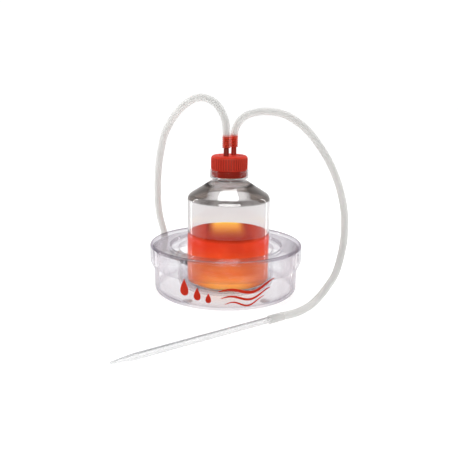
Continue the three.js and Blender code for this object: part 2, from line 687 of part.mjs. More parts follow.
function bottleShell() {
  const b = bottle;
  const inside = b.radius - b.wall;
  const shell = revolve(rounded([
    [0, b.bottom + 3], [31, b.bottom + 2.4], [35, b.bottom], [b.radius, b.bottom, 4],
    [b.radius, outerShoulder(b.radius), 8], [b.shoulderRadius, b.shoulderTop],
    [b.shoulderRadius, 121.4], [b.collarRadius, 122.4, 1.2], [b.collarRadius, b.collarTop],
    [b.collarRadius - 1.5, b.collarTop], [b.collarRadius - 1.5, 123.4], [b.finishRadius, 123.4],
    [b.finishRadius, b.mouth], [b.mouthRadius, b.mouth],
    [b.mouthRadius, innerShoulder(b.mouthRadius), 3], [inside, innerShoulder(inside), 6.4],
    [inside, b.bottom + b.wall, 2.6], [35.4, b.bottom + b.wall], [31, b.bottom + 4],
    [0, b.bottom + 4.6],
  ], 2), 32);
  return join(shell, neckThread());
}

function liquid() {
  const inside = bottle.radius - bottle.wall - GAP;
  const floor = bottle.bottom + bottle.wall + GAP;
  return revolve(rounded([
    [0, floor + 3], [31, floor + 2.4], [35.4, floor], [inside, floor, 2.4],
    [inside, bottle.liquidTop], [0, bottle.liquidTop],
  ], 2), 32);
}

function portInsert() {
  const flange = rod(15.3, 141.2, 142.2, 28);
  const boss = rod(cap.hole - 0.4, 141.5, cap.top, 28);
  const ports = port.places.map(([x, y]) => shift(revolve([
    [0, 133], [2.3, 133], [2.3, 142], [port.neckRadius, 142], [port.neckRadius, port.hoseEnd - 0.4],
    [port.barbRoot, port.hoseEnd - 0.2], ...barbOutline(port.hoseEnd, port.barbLength),
    [0, port.hoseEnd + port.barbLength],
  ], 12), x, y));
  const bores = port.places.map(([x, y]) => shift(rod(port.bore, 130, 170, 8), x, y));
  return cut(join(flange, boss, ...ports), ...bores);
}

function screwCap() {
  const c = cap;
  const body = revolve(rounded([
    [c.bore, c.bottom], [c.bandRadius, c.bottom, 0.4], [c.bandRadius, c.bandTop],
    [c.radius - c.ribDepth, c.bandTop + 0.2], [c.radius - c.ribDepth, c.top, 2.2],
    [c.hole, c.top], [c.hole, c.plateUnderside], [c.bore, c.plateUnderside],
  ], 2), 36);
  const outline = [];
  for (let i = 0; i < c.ribs; i += 1) {
    [[0, c.radius - c.ribDepth - 0.1], [0.35, c.radius], [0.65, c.radius]].forEach(([share, radius]) => {
      const angle = ((i + share) / c.ribs) * Math.PI * 2;
      outline.push(new THREE.Vector2(radius * Math.cos(angle), radius * Math.sin(angle)));
    });
  }
  const ribbed = new THREE.Shape(outline);
  ribbed.holes.push(new THREE.Path().absarc(0, 0, c.radius - 1.4, 0, Math.PI * 2, true));
  const height = c.top - 2.6 - c.bandTop - 0.4;
  const options = { depth: height, bevelEnabled: false, curveSegments: 16 };
  return join(body, shift(toSolid(new THREE.ExtrudeGeometry(ribbed, options)), 0, 0, c.bandTop + 0.4));
}

addBottlePart('bottle', bottleShell(), 'bottleClear');
addBottlePart('collected_liquid', liquid(), 'liquid');
addBottlePart('port_insert', portInsert(), 'red');
addBottlePart('insert_gasket', ring(12.6, 15.2, 139.9, 140.9, 24), 'rubber');
addBottlePart('slip_washer', ring(cap.hole + 0.4, 15.3, 142.5, 143.1, 28), 'white');
addBottlePart('screw_cap', screwCap(), 'red');

// ---------------------------------------------------------------- hoses and pipette
addPart('vacuum_hose', tube(vacuumRoute, hoseRadius, 8, 28), 'hose');
addPart('suction_hose', tube(suctionRoute, hoseRadius, 8, 40), 'hose');

// A solid built along +Z, placed on the pipette's axis at a distance from the adapter's hose end.
const axisStart = new THREE.Vector3(...pipetteAxis.start);
const axisTip = new THREE.Vector3(...pipetteAxis.tip);
const axisLength = axisStart.distanceTo(axisTip);
const pipetteGroup = new THREE.Group();
pipetteGroup.position.copy(axisStart);
pipetteGroup.quaternion.setFromUnitVectors(
  new THREE.Vector3(0, 0, 1),
  axisTip.clone().sub(axisStart).normalize(),
);
assembly.add(pipetteGroup);

function adapterSleeve() {
  const { length, radius, bore, boreDepth } = adapter;
  return revolve(rounded([
    [1.4, 0], [radius, 0, 0.6], [radius, length, 0.8], [bore, length], [bore, length - boreDepth],
    [1.4, length - boreDepth],
  ], 2), 16);
}

function pipetteTube() {
  const { radius, bore, taper, tipRadius, tipBore, insertion } = pipette;
  const start = adapter.length - insertion;
  const shoulder = axisLength - taper;
  return revolve([
    [bore, start], [radius, start], [radius, shoulder], [tipRadius, axisLength], [tipBore, axisLength],
    [bore, shoulder - 1],
  ], 16);
}

addPart('hose_adapter', adapterSleeve(), 'hose', pipetteGroup);
addPart('pipette', pipetteTube(), 'pipette', pipetteGroup);

export default assembly;
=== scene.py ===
import json
import math

import bmesh
import bpy
import numpy as np
from mathutils import Matrix, Vector


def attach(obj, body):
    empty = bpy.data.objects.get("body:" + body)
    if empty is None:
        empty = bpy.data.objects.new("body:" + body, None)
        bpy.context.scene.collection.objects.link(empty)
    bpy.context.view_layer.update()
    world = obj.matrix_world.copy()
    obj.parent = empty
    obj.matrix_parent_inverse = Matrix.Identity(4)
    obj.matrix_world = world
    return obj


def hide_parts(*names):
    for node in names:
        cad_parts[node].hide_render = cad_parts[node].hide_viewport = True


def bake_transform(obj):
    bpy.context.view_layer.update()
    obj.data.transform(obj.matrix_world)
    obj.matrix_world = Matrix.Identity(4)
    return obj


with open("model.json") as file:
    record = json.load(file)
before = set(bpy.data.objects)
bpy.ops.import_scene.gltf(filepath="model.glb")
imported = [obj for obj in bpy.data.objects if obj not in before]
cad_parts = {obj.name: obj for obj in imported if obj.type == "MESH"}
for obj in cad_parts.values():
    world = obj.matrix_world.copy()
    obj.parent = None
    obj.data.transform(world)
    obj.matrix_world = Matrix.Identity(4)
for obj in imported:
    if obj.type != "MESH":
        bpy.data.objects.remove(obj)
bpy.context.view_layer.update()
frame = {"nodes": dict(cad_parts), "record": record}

scene = bpy.context.scene
nodes = frame["nodes"]
MM = 0.001

# ---------------------------------------------------------------- camera


def make_camera():
    """The photograph's viewpoint, which looks down by 13 degrees.

    The numbers are a least-squares fit to outlines marked on the photograph, rounded.
    """
    place = Vector((-0.0231, -0.699, 0.2344))
    yaw, pitch, roll = 0.0374, 0.2347, 0.0150
    forward = Vector((
        math.sin(yaw) * math.cos(pitch),
        math.cos(yaw) * math.cos(pitch),
        -math.sin(pitch),
    ))
    level = forward.cross(Vector((0, 0, 1))).normalized()
    up = level.cross(forward)
    right = level * math.cos(roll) + up * math.sin(roll)
    up = up * math.cos(roll) - level * math.sin(roll)
    data = bpy.data.cameras.new("camera")
    data.sensor_width = 36
    data.lens = 53.41
    camera = bpy.data.objects.new("camera", data)
    scene.collection.objects.link(camera)
    turn = Matrix((right, up, -forward)).transposed()
    camera.matrix_world = Matrix.Translation(place) @ turn.to_4x4()
    scene.camera = camera


make_camera()

# ---------------------------------------------------------------- mesh helpers


def add_mesh(name, bm, sharp=35):
    """A smooth-shaded object from a bmesh, with edges sharper than an angle left crisp."""
    bmesh.ops.recalc_face_normals(bm, faces=bm.faces)
    mesh = bpy.data.meshes.new(name)
    bm.to_mesh(mesh)
    bm.free()
    for polygon in mesh.polygons:
        polygon.use_smooth = True
    mesh.set_sharp_from_angle(angle=math.radians(sharp))
    piece = bpy.data.objects.new(name, mesh)
    scene.collection.objects.link(piece)
    return piece


def rounded(points, steps=7):
    """Rounds each corner of an outline of (radius, height, corner) in millimetres."""
    outline = []
    for i, point in enumerate(points):
        here = Vector(point[:2])
        corner = point[2] if len(point) > 2 else 0
        if not corner:
            outline.append(here)
            continue
        before = (Vector(points[i - 1][:2]) - here).normalized()
        after = (Vector(points[(i + 1) % len(points)][:2]) - here).normalized()
        half = math.acos(max(-1, min(1, before.dot(after)))) / 2
        reach = corner / math.tan(half)
        centre = here + (before + after).normalized() * (corner / math.sin(half))
        first = here + before * reach - centre
        last = here + after * reach - centre
        sweep = math.atan2(first.x * last.y - first.y * last.x, first.dot(last))
        for step in range(steps + 1):
            angle = sweep * step / steps
            turned = Vector((
                first.x * math.cos(angle) - first.y * math.sin(angle),
                first.x * math.sin(angle) + first.y * math.cos(angle),
            ))
            outline.append(centre + turned)
    return outline


def dense(outline, longest):
    """Adds points along an outline's long straight runs."""
    out = [Vector(outline[0])]
    for point in outline[1:]:
        start = out[-1]
        end = Vector(point)
        count = max(1, math.ceil((end - start).length / longest))
        out += [start.lerp(end, (k + 1) / count) for k in range(count)]
    return out


def lathe_into(bm, outline, segments=144, centre=(0, 0), shape=None):
    """Turns an outline in millimetres about an upright axis. shape moves a point's radius at an angle."""
    closed = outline[0][0] > 1e-6 or outline[-1][0] > 1e-6
    rings = []
    for r, z in outline:
        if r < 1e-6:
            rings.append([bm.verts.new((centre[0] * MM, centre[1] * MM, z * MM))])
            continue
        ring = []
        for k in range(segments):
            angle = 2 * math.pi * k / segments
            radius = shape(r, z, angle) if shape else r
            ring.append(bm.verts.new((
                (centre[0] + radius * math.cos(angle)) * MM,
                (centre[1] + radius * math.sin(angle)) * MM,
                z * MM,
            )))
        rings.append(ring)
    pairs = list(zip(rings, rings[1:]))
    if closed:
        pairs.append((rings[-1], rings[0]))
    for low, high in pairs:
        if len(low) == 1 and len(high) == 1:
            continue
        for k in range(segments):
            n = (k + 1) % segments
            if len(low) == 1:
                bm.faces.new((low[0], high[n], high[k]))
            elif len(high) == 1:
                bm.faces.new((low[k], low[n], high[0]))
            else:
                bm.faces.new((low[k], low[n], high[n], high[k]))


def lathe(name, outline, segments=144, centre=(0, 0), shape=None, sharp=35):
    bm = bmesh.new()
    lathe_into(bm, outline, segments, centre, shape)
    return add_mesh(name, bm, sharp)


def paint(piece, name, value):
    """Stores value(x, y, z in millimetres) on each vertex for the material to read.

    Most values are shares between two colours. Those for haze and slope also go above 1.
    """
    attribute = piece.data.attributes.new(name, "FLOAT", "POINT")
    for i, vertex in enumerate(piece.data.vertices):
        attribute.data[i].value = value(*(vertex.co / MM))
    return piece


def boolean(piece, cutter, operation):
    """Joins or cuts a piece with another mesh, which goes away."""
    modifier = piece.modifiers.new("boolean", "BOOLEAN")
    modifier.operation = operation
    modifier.solver = "EXACT"
    modifier.object = cutter
    depsgraph = bpy.context.evaluated_depsgraph_get()
    mesh = bpy.data.meshes.new_from_object(piece.evaluated_get(depsgraph))
    piece.modifiers.remove(modifier)
    old = piece.data
    piece.data = mesh
    bpy.data.meshes.remove(old)
    mesh.name = piece.name
    for polygon in mesh.polygons:
        polygon.use_smooth = True
    mesh.set_sharp_from_angle(angle=math.radians(30))
    bpy.data.objects.remove(cutter)


def distances(line):
    return np.concatenate([[0], np.cumsum(np.linalg.norm(np.diff(line, axis=0), axis=1))])


def smooth_path(points, step=1.6, samples=24, smoothings=6):
    """A centripetal Catmull-Rom curve through points in millimetres, evenly spaced, in metres."""
    p = [np.array(q, float) for q in points]
    p = [2 * p[0] - p[1], *p, 2 * p[-1] - p[-2]]
    fine = []
    for a, b, c, d in zip(p, p[1:], p[2:], p[3:]):
        t1 = np.linalg.norm(b - a) ** 0.5
        t2 = t1 + np.linalg.norm(c - b) ** 0.5
        t3 = t2 + np.linalg.norm(d - c) ** 0.5
        for t in np.linspace(t1, t2, samples, endpoint=False):
            a1 = a + (b - a) * t / t1
            a2 = b + (c - b) * (t - t1) / (t2 - t1)
            a3 = c + (d - c) * (t - t2) / (t3 - t2)
            b1 = a1 + (a2 - a1) * t / t2
            b2 = a2 + (a3 - a2) * (t - t1) / (t3 - t1)
            fine.append(b1 + (b2 - b1) * (t - t1) / (t2 - t1))
    fine.append(p[-2])
    fine = np.array(fine)
    along = distances(fine)
    count = round(along[-1] / step)
    even = np.linspace(0, along[-1], count + 1)
    line = np.stack([np.interp(even, along, fine[:, k]) for k in range(3)], axis=1)
    for _ in range(smoothings):
        line[1:-1] = (line[:-2] + 2 * line[1:-1] + line[2:]) / 4
    return line * MM


def tube(name, line, outer, inner, sides=28):
    """A hose with a bore along a line in metres.

    outer and inner give its two radii in millimetres at a distance in metres along the line.
    """
    bm = bmesh.new()
    along = distances(line)
    tangents = np.gradient(line, axis=0)
    tangents /= np.linalg.norm(tangents, axis=1)[:, None]
    side = np.cross(tangents[0], (0.0, 1.0, 0.3))
    walls = ([], [])
    for point, tangent, distance in zip(line, tangents, along):
        side = side - tangent * side.dot(tangent)
        side /= np.linalg.norm(side)
        other = np.cross(tangent, side)
        for wall, radius in zip(walls, (outer(distance), inner(distance))):
            ring = []
            for k in range(sides):
                angle = 2 * math.pi * k / sides
                offset = (side * math.cos(angle) + other * math.sin(angle)) * radius * MM
                ring.append(bm.verts.new(point + offset))
            wall.append(ring)
    quads = [(low, high) for wall in walls for low, high in zip(wall, wall[1:])]
    quads += [(walls[0][0], walls[1][0]), (walls[0][-1], walls[1][-1])]
    for low, high in quads:
        for k in range(sides):
            n = (k + 1) % sides
            bm.faces.new((low[k], low[n], high[n], high[k]))
    return add_mesh(name, bm, 50)


# ---------------------------------------------------------------- hoses

HOSE = 7.5  # outside diameter, millimetres
HOSE_BORE = 4.2
BOTTLE_X = 2.4
PORTS = ((BOTTLE_X - 3.5, -5.2), (BOTTLE_X + 4.6, 5.2))
PORT_HOSE_END = 153.6
BARB_TOP = 164.8
ELBOW_AZIMUTH = 138
ELBOW_REACH = 92.5  # from the base's axis to the upright barb of the elbow
ELBOW = (
    ELBOW_REACH * math.cos(math.radians(ELBOW_AZIMUTH)),
    ELBOW_REACH * math.sin(math.radians(ELBOW_AZIMUTH)),
)
# The routes repeat part.mjs. Most points were marked on the photograph, and a scratch program
# turned the marks into millimetres through the fitted camera.
VACUUM_ROUTE = [
    (PORTS[0][0], PORTS[0][1], PORT_HOSE_END), (PORTS[0][0], PORTS[0][1], 159.6),
    (-1.1, -5.2, 165.1), (-1.3, -4.5, 173.4), (-2.6, -3.2, 181.6), (-5.9, -1.4, 189.4),
    (-10.9, 1.6, 196.6), (-18.4, 4.9, 201.6), (-26.8, 8.2, 203.5), (-35.6, 11.6, 201.2),
    (-44.8, 15.6, 194.8), (-53.2, 19.8, 185.8), (-60.6, 24.2, 174.4), (-66.2, 28.6, 162.6),
    (-70.2, 34, 146), (-72.8, 39, 131.2), (-74.6, 44.6, 111.5), (-75.1, 49.6, 93.8),
    (-74.7, 54.2, 78), (-73.2, 57.7, 66.3), (-71.2, 60.2, 57.2), (-69.5, 61.6, 50.2),
    (ELBOW[0], ELBOW[1], 46.0), (ELBOW[0], ELBOW[1], 41), (ELBOW[0], ELBOW[1], 35.9),
]
SUCTION_ROUTE = [
    (PORTS[1][0], PORTS[1][1], PORT_HOSE_END), (PORTS[1][0], PORTS[1][1], 159.6),
    (7, 5.2, 165.3), (8.1, 5, 171.6), (11, 4.7, 178.4), (16, 4.2, 183.9), (22.9, 3.4, 187.7),
    (31, 2.7, 189.8), (40.4, 1.7, 190.4), (56.7, 0, 188.1), (73.9, -2, 178.7), (84.4, -3.5, 169.3),
    (94, -5.1, 157.3), (104, -7, 142.2), (112.2, -9.2, 125.3), (118, -11.4, 108.6),
    (121.5, -13.8, 91.5), (122.7, -16.4, 74.3), (121.6, -19.6, 57.6), (116.2, -25.6, 34.7),
    (112.2, -29.2, 25.2), (107.6, -32.6, 19.3), (102.4, -36.8, 13.7), (97.6, -41.2, 9.2),
    (91.8, -47.6, 5.8), (84.9, -58, 4.1), (76.4, -70.1, 3.9), (66.9, -80.7, 3.9),
    (58.6, -86.8, 4), (52.4, -91.1, 4.2),
]
PIPETTE_START = Vector((51.9, -91.45, 4.2))
PIPETTE_TIP = Vector((-97.4, -194.1, 3))
SLEEVE = 17  # length of the sleeve that joins the hose to the pipette
BARB_LENGTH = 0.0112
CAP_END = 0.02  # how far from the cap a hose's end can take on the red of its barb, metres
RIDGE_PITCH = 0.0021  # of the ridges that show on the hose over a barb, metres
RIDGE_HEIGHT = 0.55


def ease(x):
    x = max(0.0, min(1.0, x))
    return x * x * (3 - 2 * x)


def finer_ends(line, reach=0.016, step=0.00035):
    """Adds points to a line near its two ends, where the hose is ribbed over its barbs."""
    along = distances(line)
    count = round(reach / step)
    start = np.linspace(0, reach, count)
    middle = along[(along > reach) & (along < along[-1] - reach)]
    even = np.concatenate([start, middle, along[-1] - start[::-1]])
    return np.stack([np.interp(even, along, line[:, k]) for k in range(3)], axis=1)


def make_hose(name, route, barbs):
    """A hose that widens over a barb at the ends that have one. It is stretched clear there."""
    line = smooth_path(route)
    total = float(distances(line)[-1])

    def on_barb(distance):
        near = distance if barbs == 1 else min(distance, total - distance)
        return 1 - ease((near - BARB_LENGTH + 0.001) / 0.004)

    def outer(distance):
        near = distance if barbs == 1 else min(distance, total - distance)
        ripple = RIDGE_HEIGHT * (0.5 + 0.5 * math.cos(near / RIDGE_PITCH * 2 * math.pi))
        return HOSE / 2 + on_barb(distance) * (0.02 + ripple)

    def inner(distance):
        return HOSE_BORE / 2 + on_barb(distance) * 0.5

    fine = finer_ends(line)
    piece = tube(name, fine, outer, inner)
    along = distances(fine)
    sides = len(piece.data.vertices) // (2 * len(fine))
    at_cap = [on_barb(d) * (d < CAP_END) for d in along]
    for label, values in (("clear", [on_barb(d) for d in along]), ("red", at_cap)):
        attribute = piece.data.attributes.new(label, "FLOAT", "POINT")
        attribute.data.foreach_set("value", np.repeat(values, 2 * sides).astype(np.float32))
    return piece, line, total


def lay_along_pipette(piece):
    """Turns a piece made along +Z so that it runs from the hose's end to the pipette's tip."""
    turn = (PIPETTE_TIP - PIPETTE_START).to_track_quat("Z", "Y").to_matrix().to_4x4()
    piece.data.transform(Matrix.Translation(PIPETTE_START * MM) @ turn)
    return piece


def make_sleeve():
    return lay_along_pipette(lathe("pipette_sleeve", rounded([
        (2.1, 0, 0.2), (4.1, 0, 0.8), (3.95, 4), (4.1, SLEEVE, 0.5), (3.45, SLEEVE, 0.15),
        (3.45, 4.6, 0.3), (2.1, 3.8, 0.3),
    ], 5), 48))


vacuum_tube, vacuum_line, vacuum_length = make_hose("vacuum_tube", VACUUM_ROUTE, 2)
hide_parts("vacuum_hose")
tuple(vacuum_line[0])
suction_tube, suction_line, suction_length = make_hose("suction_tube", SUCTION_ROUTE, 1)
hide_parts("suction_hose")
sleeve = paint(make_sleeve(), "pale", lambda x, y, z: 1)
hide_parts("hose_adapter")
tuple(suction_line[0])
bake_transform(vacuum_tube)
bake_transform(suction_tube)

# ---------------------------------------------------------------- base

TRAY_RADIUS = 75
TRAY_BOTTOM = 1.5
TRAY_TOP = 49.1
DRAFT = 1.6  # how far the tray's wall leans out on its way up
TRAY_FLOOR = 3.9
LID_RADIUS = 80
LID_TOP = 53
SKIRT_BOTTOM = 31
DECK = 51.4
WELL_RADIUS = 48.4
WELL_FLOOR = 10
WALL = 2.2
TRAY_OUTLINE = rounded([
    (0, TRAY_BOTTOM), (TRAY_RADIUS, TRAY_BOTTOM, 6), (TRAY_RADIUS + DRAFT, TRAY_TOP, 0.5),
    (TRAY_RADIUS + DRAFT - WALL, TRAY_TOP, 0.5), (TRAY_RADIUS - WALL, TRAY_FLOOR, 3.8),
    (0, TRAY_FLOOR),
], 9)
LID_OUTLINE = rounded([
    (0, 8.1), (50.5, 8.1, 5), (51.5, 46.1, 1), (60.4, 46.1, 0.6), (61, 49.5, 0.6),
    (LID_RADIUS - WALL, 49.5, 1.6), (LID_RADIUS - WALL, 35.4, 2),
    (LID_RADIUS - 2.9, SKIRT_BOTTOM, 0.3), (LID_RADIUS - 1.9, SKIRT_BOTTOM, 0.3),
    (LID_RADIUS, 35.6, 3), (LID_RADIUS, LID_TOP, 2.3), (LID_RADIUS - 4.6, LID_TOP, 0.9),
    (LID_RADIUS - 5.6, DECK, 1.2), (59, DECK, 0.8), (58.1, 48, 1), (49.6, 48, 1.2),
    (WELL_RADIUS, WELL_FLOOR, 4), (0, WELL_FLOOR),
], 6)
LID_SCREWS = [math.radians(azimuth) for azimuth in (90, 210, 330)]
LID_SCREW_CIRCLE = 34  # radius of the circle that the three screws stand on

# The flat pads on the tray's wall: azimuth in degrees, height, half width and half height.
ELBOW_PAD = (ELBOW_AZIMUTH, 24, 8, 6.4)
JACK_PAD = (126, 15, 7, 7)
SWITCH_PAD = (63, 21, 9, 8)
PAD_FACE = 77.6
PAD_DEPTH = 4.6
THROUGH_WALL = (66, 82)
FITTING_BORE = 4.35
SWITCH_HOLE_HALF = 6.8
SWITCH_HOLE_HEIGHTS = (16.2, 25.8)


def block_at(azimuth, radii, half, heights, bevel=0.0):
    """A block that stands out of the wall at an azimuth in degrees. Sizes are in millimetres."""
    bm = bmesh.new()
    bmesh.ops.create_cube(bm, size=1)
    size = Vector((radii[1] - radii[0], 2 * half, heights[1] - heights[0])) * MM
    middle = Vector(((radii[0] + radii[1]) / 2, 0, (heights[0] + heights[1]) / 2)) * MM
    bm.transform(Matrix.Translation(middle) @ Matrix.Diagonal((*size, 1)))
    if bevel:
        bmesh.ops.bevel(
            bm, geom=bm.edges[:], offset=bevel * MM, segments=3, profile=0.5, affect="EDGES"
        )
    bm.transform(Matrix.Rotation(math.radians(azimuth), 4, "Z"))
    return add_mesh("cutter", bm)


def bore_at(azimuth, radii, radius, height):
    """A round bar that lies along a radius, for a hole through the wall."""
    bm = bmesh.new()
    bmesh.ops.create_cone(
        bm, cap_ends=True, segments=40, radius1=radius * MM, radius2=radius * MM,
        depth=(radii[1] - radii[0]) * MM,
    )
    bm.transform(
        Matrix.Rotation(math.radians(azimuth), 4, "Z")
        @ Matrix.Translation(Vector(((radii[0] + radii[1]) / 2, 0, height)) * MM)
        @ Matrix.Rotation(math.pi / 2, 4, "Y")
    )
    return add_mesh("cutter", bm)


def make_tray():
    tray = lathe("clear_tray", dense(TRAY_OUTLINE, 4), 160)
    for azimuth, height, half, rise in (ELBOW_PAD, JACK_PAD, SWITCH_PAD):
        heights = (height - rise, height + rise)
        pad = block_at(azimuth, (PAD_FACE - PAD_DEPTH, PAD_FACE), half, heights, 0.6)
        boolean(tray, pad, "UNION")
    for azimuth, height, *_ in (ELBOW_PAD, JACK_PAD):
        boolean(tray, bore_at(azimuth, THROUGH_WALL, FITTING_BORE, height), "DIFFERENCE")
    hole = block_at(SWITCH_PAD[0], THROUGH_WALL, SWITCH_HOLE_HALF, SWITCH_HOLE_HEIGHTS, 0.3)
    boolean(tray, hole, "DIFFERENCE")
    return tray


def make_lid():
    lid = lathe("clear_lid", dense(LID_OUTLINE, 5), 160)
    for angle in LID_SCREWS:
        at = (LID_SCREW_CIRCLE * math.cos(angle), LID_SCREW_CIRCLE * math.sin(angle))
        sink = lathe(
            "cutter", [(0, 7), (1.8, 7), (1.8, 8.2), (3.5, 10.1), (3.5, 12), (0, 12)], 32, at
        )
        boolean(lid, sink, "DIFFERENCE")
    return lid


def band(low, high, soft):
    """1 between low and high, falling to 0 over soft on each side."""
    return lambda v: ease((v - low + soft) / soft) * ease((high + soft - v) / soft)


def lid_painted_shade(x, y, z):
    """Painted shade along the lid's rims and edges, standing in for the darkness of thick plastic seen
    edge on.

    The rim is darker at its sides, and the steps round the well are fainter in front.
    """
    r = math.hypot(x, y)
    at_side = 0.15 + 0.85 * ease((abs(x) - 15) / 35)
    rim = at_side * band(LID_RADIUS - 2.2, LID_RADIUS + 0.4, 0.8)(r) * band(51.6, 53.2, 1.2)(z)
    deck = (0.04 + 0.24 * ease((y + 60) / 40)) * band(59, LID_RADIUS - 5, 1)(r) * (z > 45)
    inner_rim = 0.55 * band(LID_RADIUS - 5.6, LID_RADIUS - 4.3, 0.7)(r) * band(51.2, 53, 0.8)(z)
    past_front = 0.25 + 0.75 * ease((y + 50) / 35)
    step = 0.65 * past_front * band(58, 59.2, 0.7)(r) * band(47.6, 51.4, 0.8)(z)
    mouth = 0.5 * past_front * band(49, 50.4, 0.6)(r) * band(46.8, 48.2, 0.8)(z)
    hem = 0.12 * (r > 70) * band(30.9, 31.6, 0.8)(z)
    foot = 0.12 * (30 < r < 60) * band(8, 17, 8)(z)
    side = 0.2 * (r > 76) * ease((abs(x) / LID_RADIUS - 0.93) / 0.06)
    return max(rim, deck, inner_rim, step, mouth, hem, foot, side)


def lid_haze_and_highlight(x, y, z):
    """The skirt is milkier than the deck, the foot of the well is cloudy and its wall is clearer. Along
    the front of the rim, extra milkiness that the lamps light white is a painted highlight.
    """
    r = math.hypot(x, y)
    at_side = 0.35 + 2.4 * ease((abs(x) - 38) / 18)
    skirt = at_side * band(LID_RADIUS - 3, LID_RADIUS + 1, 1)(r) * (1 - ease((z - 49) / 3))
    well = -0.15 * band(46, 53, 2)(r) * (1 - ease((z - 44) / 4))
    foot = 2.6 * (r < 54) * (1 - ease((z - 12) / 13))
    # Painted highlight: extra milkiness along the front of the rim, which the lamps light white.
    painted_rim_highlight = 9 * ease((-y - 45) / 20) * band(LID_RADIUS - 1, LID_RADIUS, 1)(r) * (z > 51.5)
    return 0.25 + skirt + well + foot + painted_rim_highlight


def tray_painted_shade(x, y, z):
    """Painted shade at the rounded bottom corner, where the wall is seen edge on, along the wall's left
    and right sides, and in a shade that fades up the wall.
    """
    r = math.hypot(x, y)
    at_side = ease((abs(x) - 30) / 30)
    in_front = 0.35 + 0.65 * ease((25 - y) / 30)
    corner = (0.22 + 0.55 * at_side) * band(TRAY_RADIUS - 2.5, TRAY_RADIUS, 2)(r) * band(1, 6, 3)(z)
    corner *= in_front
    shade = 0.06 * at_side * band(TRAY_RADIUS - 3, TRAY_RADIUS + 2, 1)(r) * (1 - ease((z - 4) / 30))
    edge = 0.28 * (r > TRAY_RADIUS - 3) * ease((abs(x) / TRAY_RADIUS - 0.93) / 0.06)
    return max(corner, shade, edge)


def tray_haze(x, y, z):
    """The tray's wall is milky beside the well, and clearer in front of it."""
    at_side = 0.3 + 2.7 * ease((abs(x) - 38) / 18)
    return 0.8 + at_side * ease((math.hypot(x, y) - TRAY_RADIUS + 6) / 4)


tray = paint(make_tray(), "depth", tray_painted_shade)
paint(tray, "haze", tray_haze)
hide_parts("base_tray")
lid = paint(make_lid(), "depth", lid_painted_shade)
paint(lid, "haze", lid_haze_and_highlight)
paint(lid, "thin", lambda x, y, z: 0.9 * (math.hypot(x, y) < 56) * (z < 47))
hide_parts("base_lid")


def pipette_painted_shade(x, y, z):
    """Painted shade along the upper back of the tube, where its wall is seen through at a slant."""
    along = (PIPETTE_TIP - PIPETTE_START).normalized()
    out = Vector((x, y, z)) - PIPETTE_START
    out -= along * out.dot(along)
    high = out.z / max(out.length, 0.01)
    return 0.9 * ease((high - 0.8) / 0.15)


paint(nodes["pipette"], "haze", lambda x, y, z: 1)
paint(nodes["pipette"], "depth", pipette_painted_shade)

# ---------------------------------------------------------------- bottle

SHOULDER_SLOPE = 0.633
SHOULDER_TOP = 120
THROAT = 17.1  # outside radius of the throat, where the shoulder starts
BODY = 43.2  # outside radius of the bottle's body
NECK = 14.6  # outside radius of the neck, under its thread
THREAD_PITCH = 4.23
THREAD_BOTTOM = 128.4


def outer_shoulder(r):
    return SHOULDER_TOP - SHOULDER_SLOPE * (r - THROAT)


BOTTLE_OUTLINE = rounded([
    (0, 13.3), (31, 12.7, 2), (35, 10.3, 1), (BODY, 10.3, 4), (BODY, outer_shoulder(BODY), 8),
    (THROAT, SHOULDER_TOP, 0.8), (THROAT, 121.4, 0.5), (20, 122.4, 1.0), (20, 130.8, 0.5),
    (18.5, 130.8, 0.5), (18.5, 123.4, 0.6), (NECK, 123.4, 0.6), (NECK, 139.6, 0.4), (13, 139.6, 0.4),
    (13, outer_shoulder(13) - 1.9, 3), (41.6, outer_shoulder(41.6) - 1.9, 6.4),
    (41.6, 11.9, 2.6), (35.4, 11.9, 1), (31, 14.3, 2), (0, 14.9),
], 8)
SEAM_AZIMUTH = math.radians(-47)


def bottle_shape(r, z, angle):
    """Two mould seams and the slight waviness of a blown wall."""
    if r < 20.5 or z < 12:
        return r
    turned = math.sin(angle - SEAM_AZIMUTH)
    seam = 0.16 * math.exp(-((turned * r / 0.55) ** 2)) if r > 42.5 else 0
    wave = 0.05 * math.sin(3 * angle + z * 0.11) + 0.04 * math.sin(7 * angle - z * 0.07)
    return r + seam - 0.06 + wave * (1 if r > 41 else 0.4)


def bottle_painted_shade(x, y, z):
    """Painted shade where the wall is thick: along the edge of the shoulder, in the throat and round the
    heel.
    """
    r = math.hypot(x - BOTTLE_X, y)
    edge = 0.75 * band(39.5, 43.3, 2)(r) * band(100.5, 104.5, 1.6)(z)
    throat = 0.06 * band(13, 19, 2)(r) * band(117.5, 123, 2)(z)
    heel = 0.3 * band(38, 44, 2)(r) * band(9, 14, 3)(z)
    return max(edge, throat, heel)


def bottle_slope_shade(x, y, z):
    """Painted shade on the sloping shoulder, which goes dark where it turns away from the eye, more on
    the right than on the left.
    """
    out = x - BOTTLE_X
    at_side = 0.42 + (1.1 if out < 0 else 2.1) * ease((abs(out) - 12) / 14)
    return at_side * band(22, 43.4, 3)(math.hypot(x - BOTTLE_X, y)) * band(101.5, 115, 1.5)(z)


def bottle_collar(x, y, z):
    """The thin collar round the cap, and the throat under it, are seen straight through."""
    r = math.hypot(x - BOTTLE_X, y)
    return max((r > 17.8) * ease((z - 121) / 1), 0.88 * (r < 27) * band(114, 121, 2)(z))


bottle = lathe("clear_bottle", dense(BOTTLE_OUTLINE, 3), 200, (BOTTLE_X, 0), bottle_shape, 50)
paint(bottle, "depth", bottle_painted_shade)
paint(bottle, "slope", bottle_slope_shade)
paint(bottle, "collar", bottle_collar)
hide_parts("bottle")


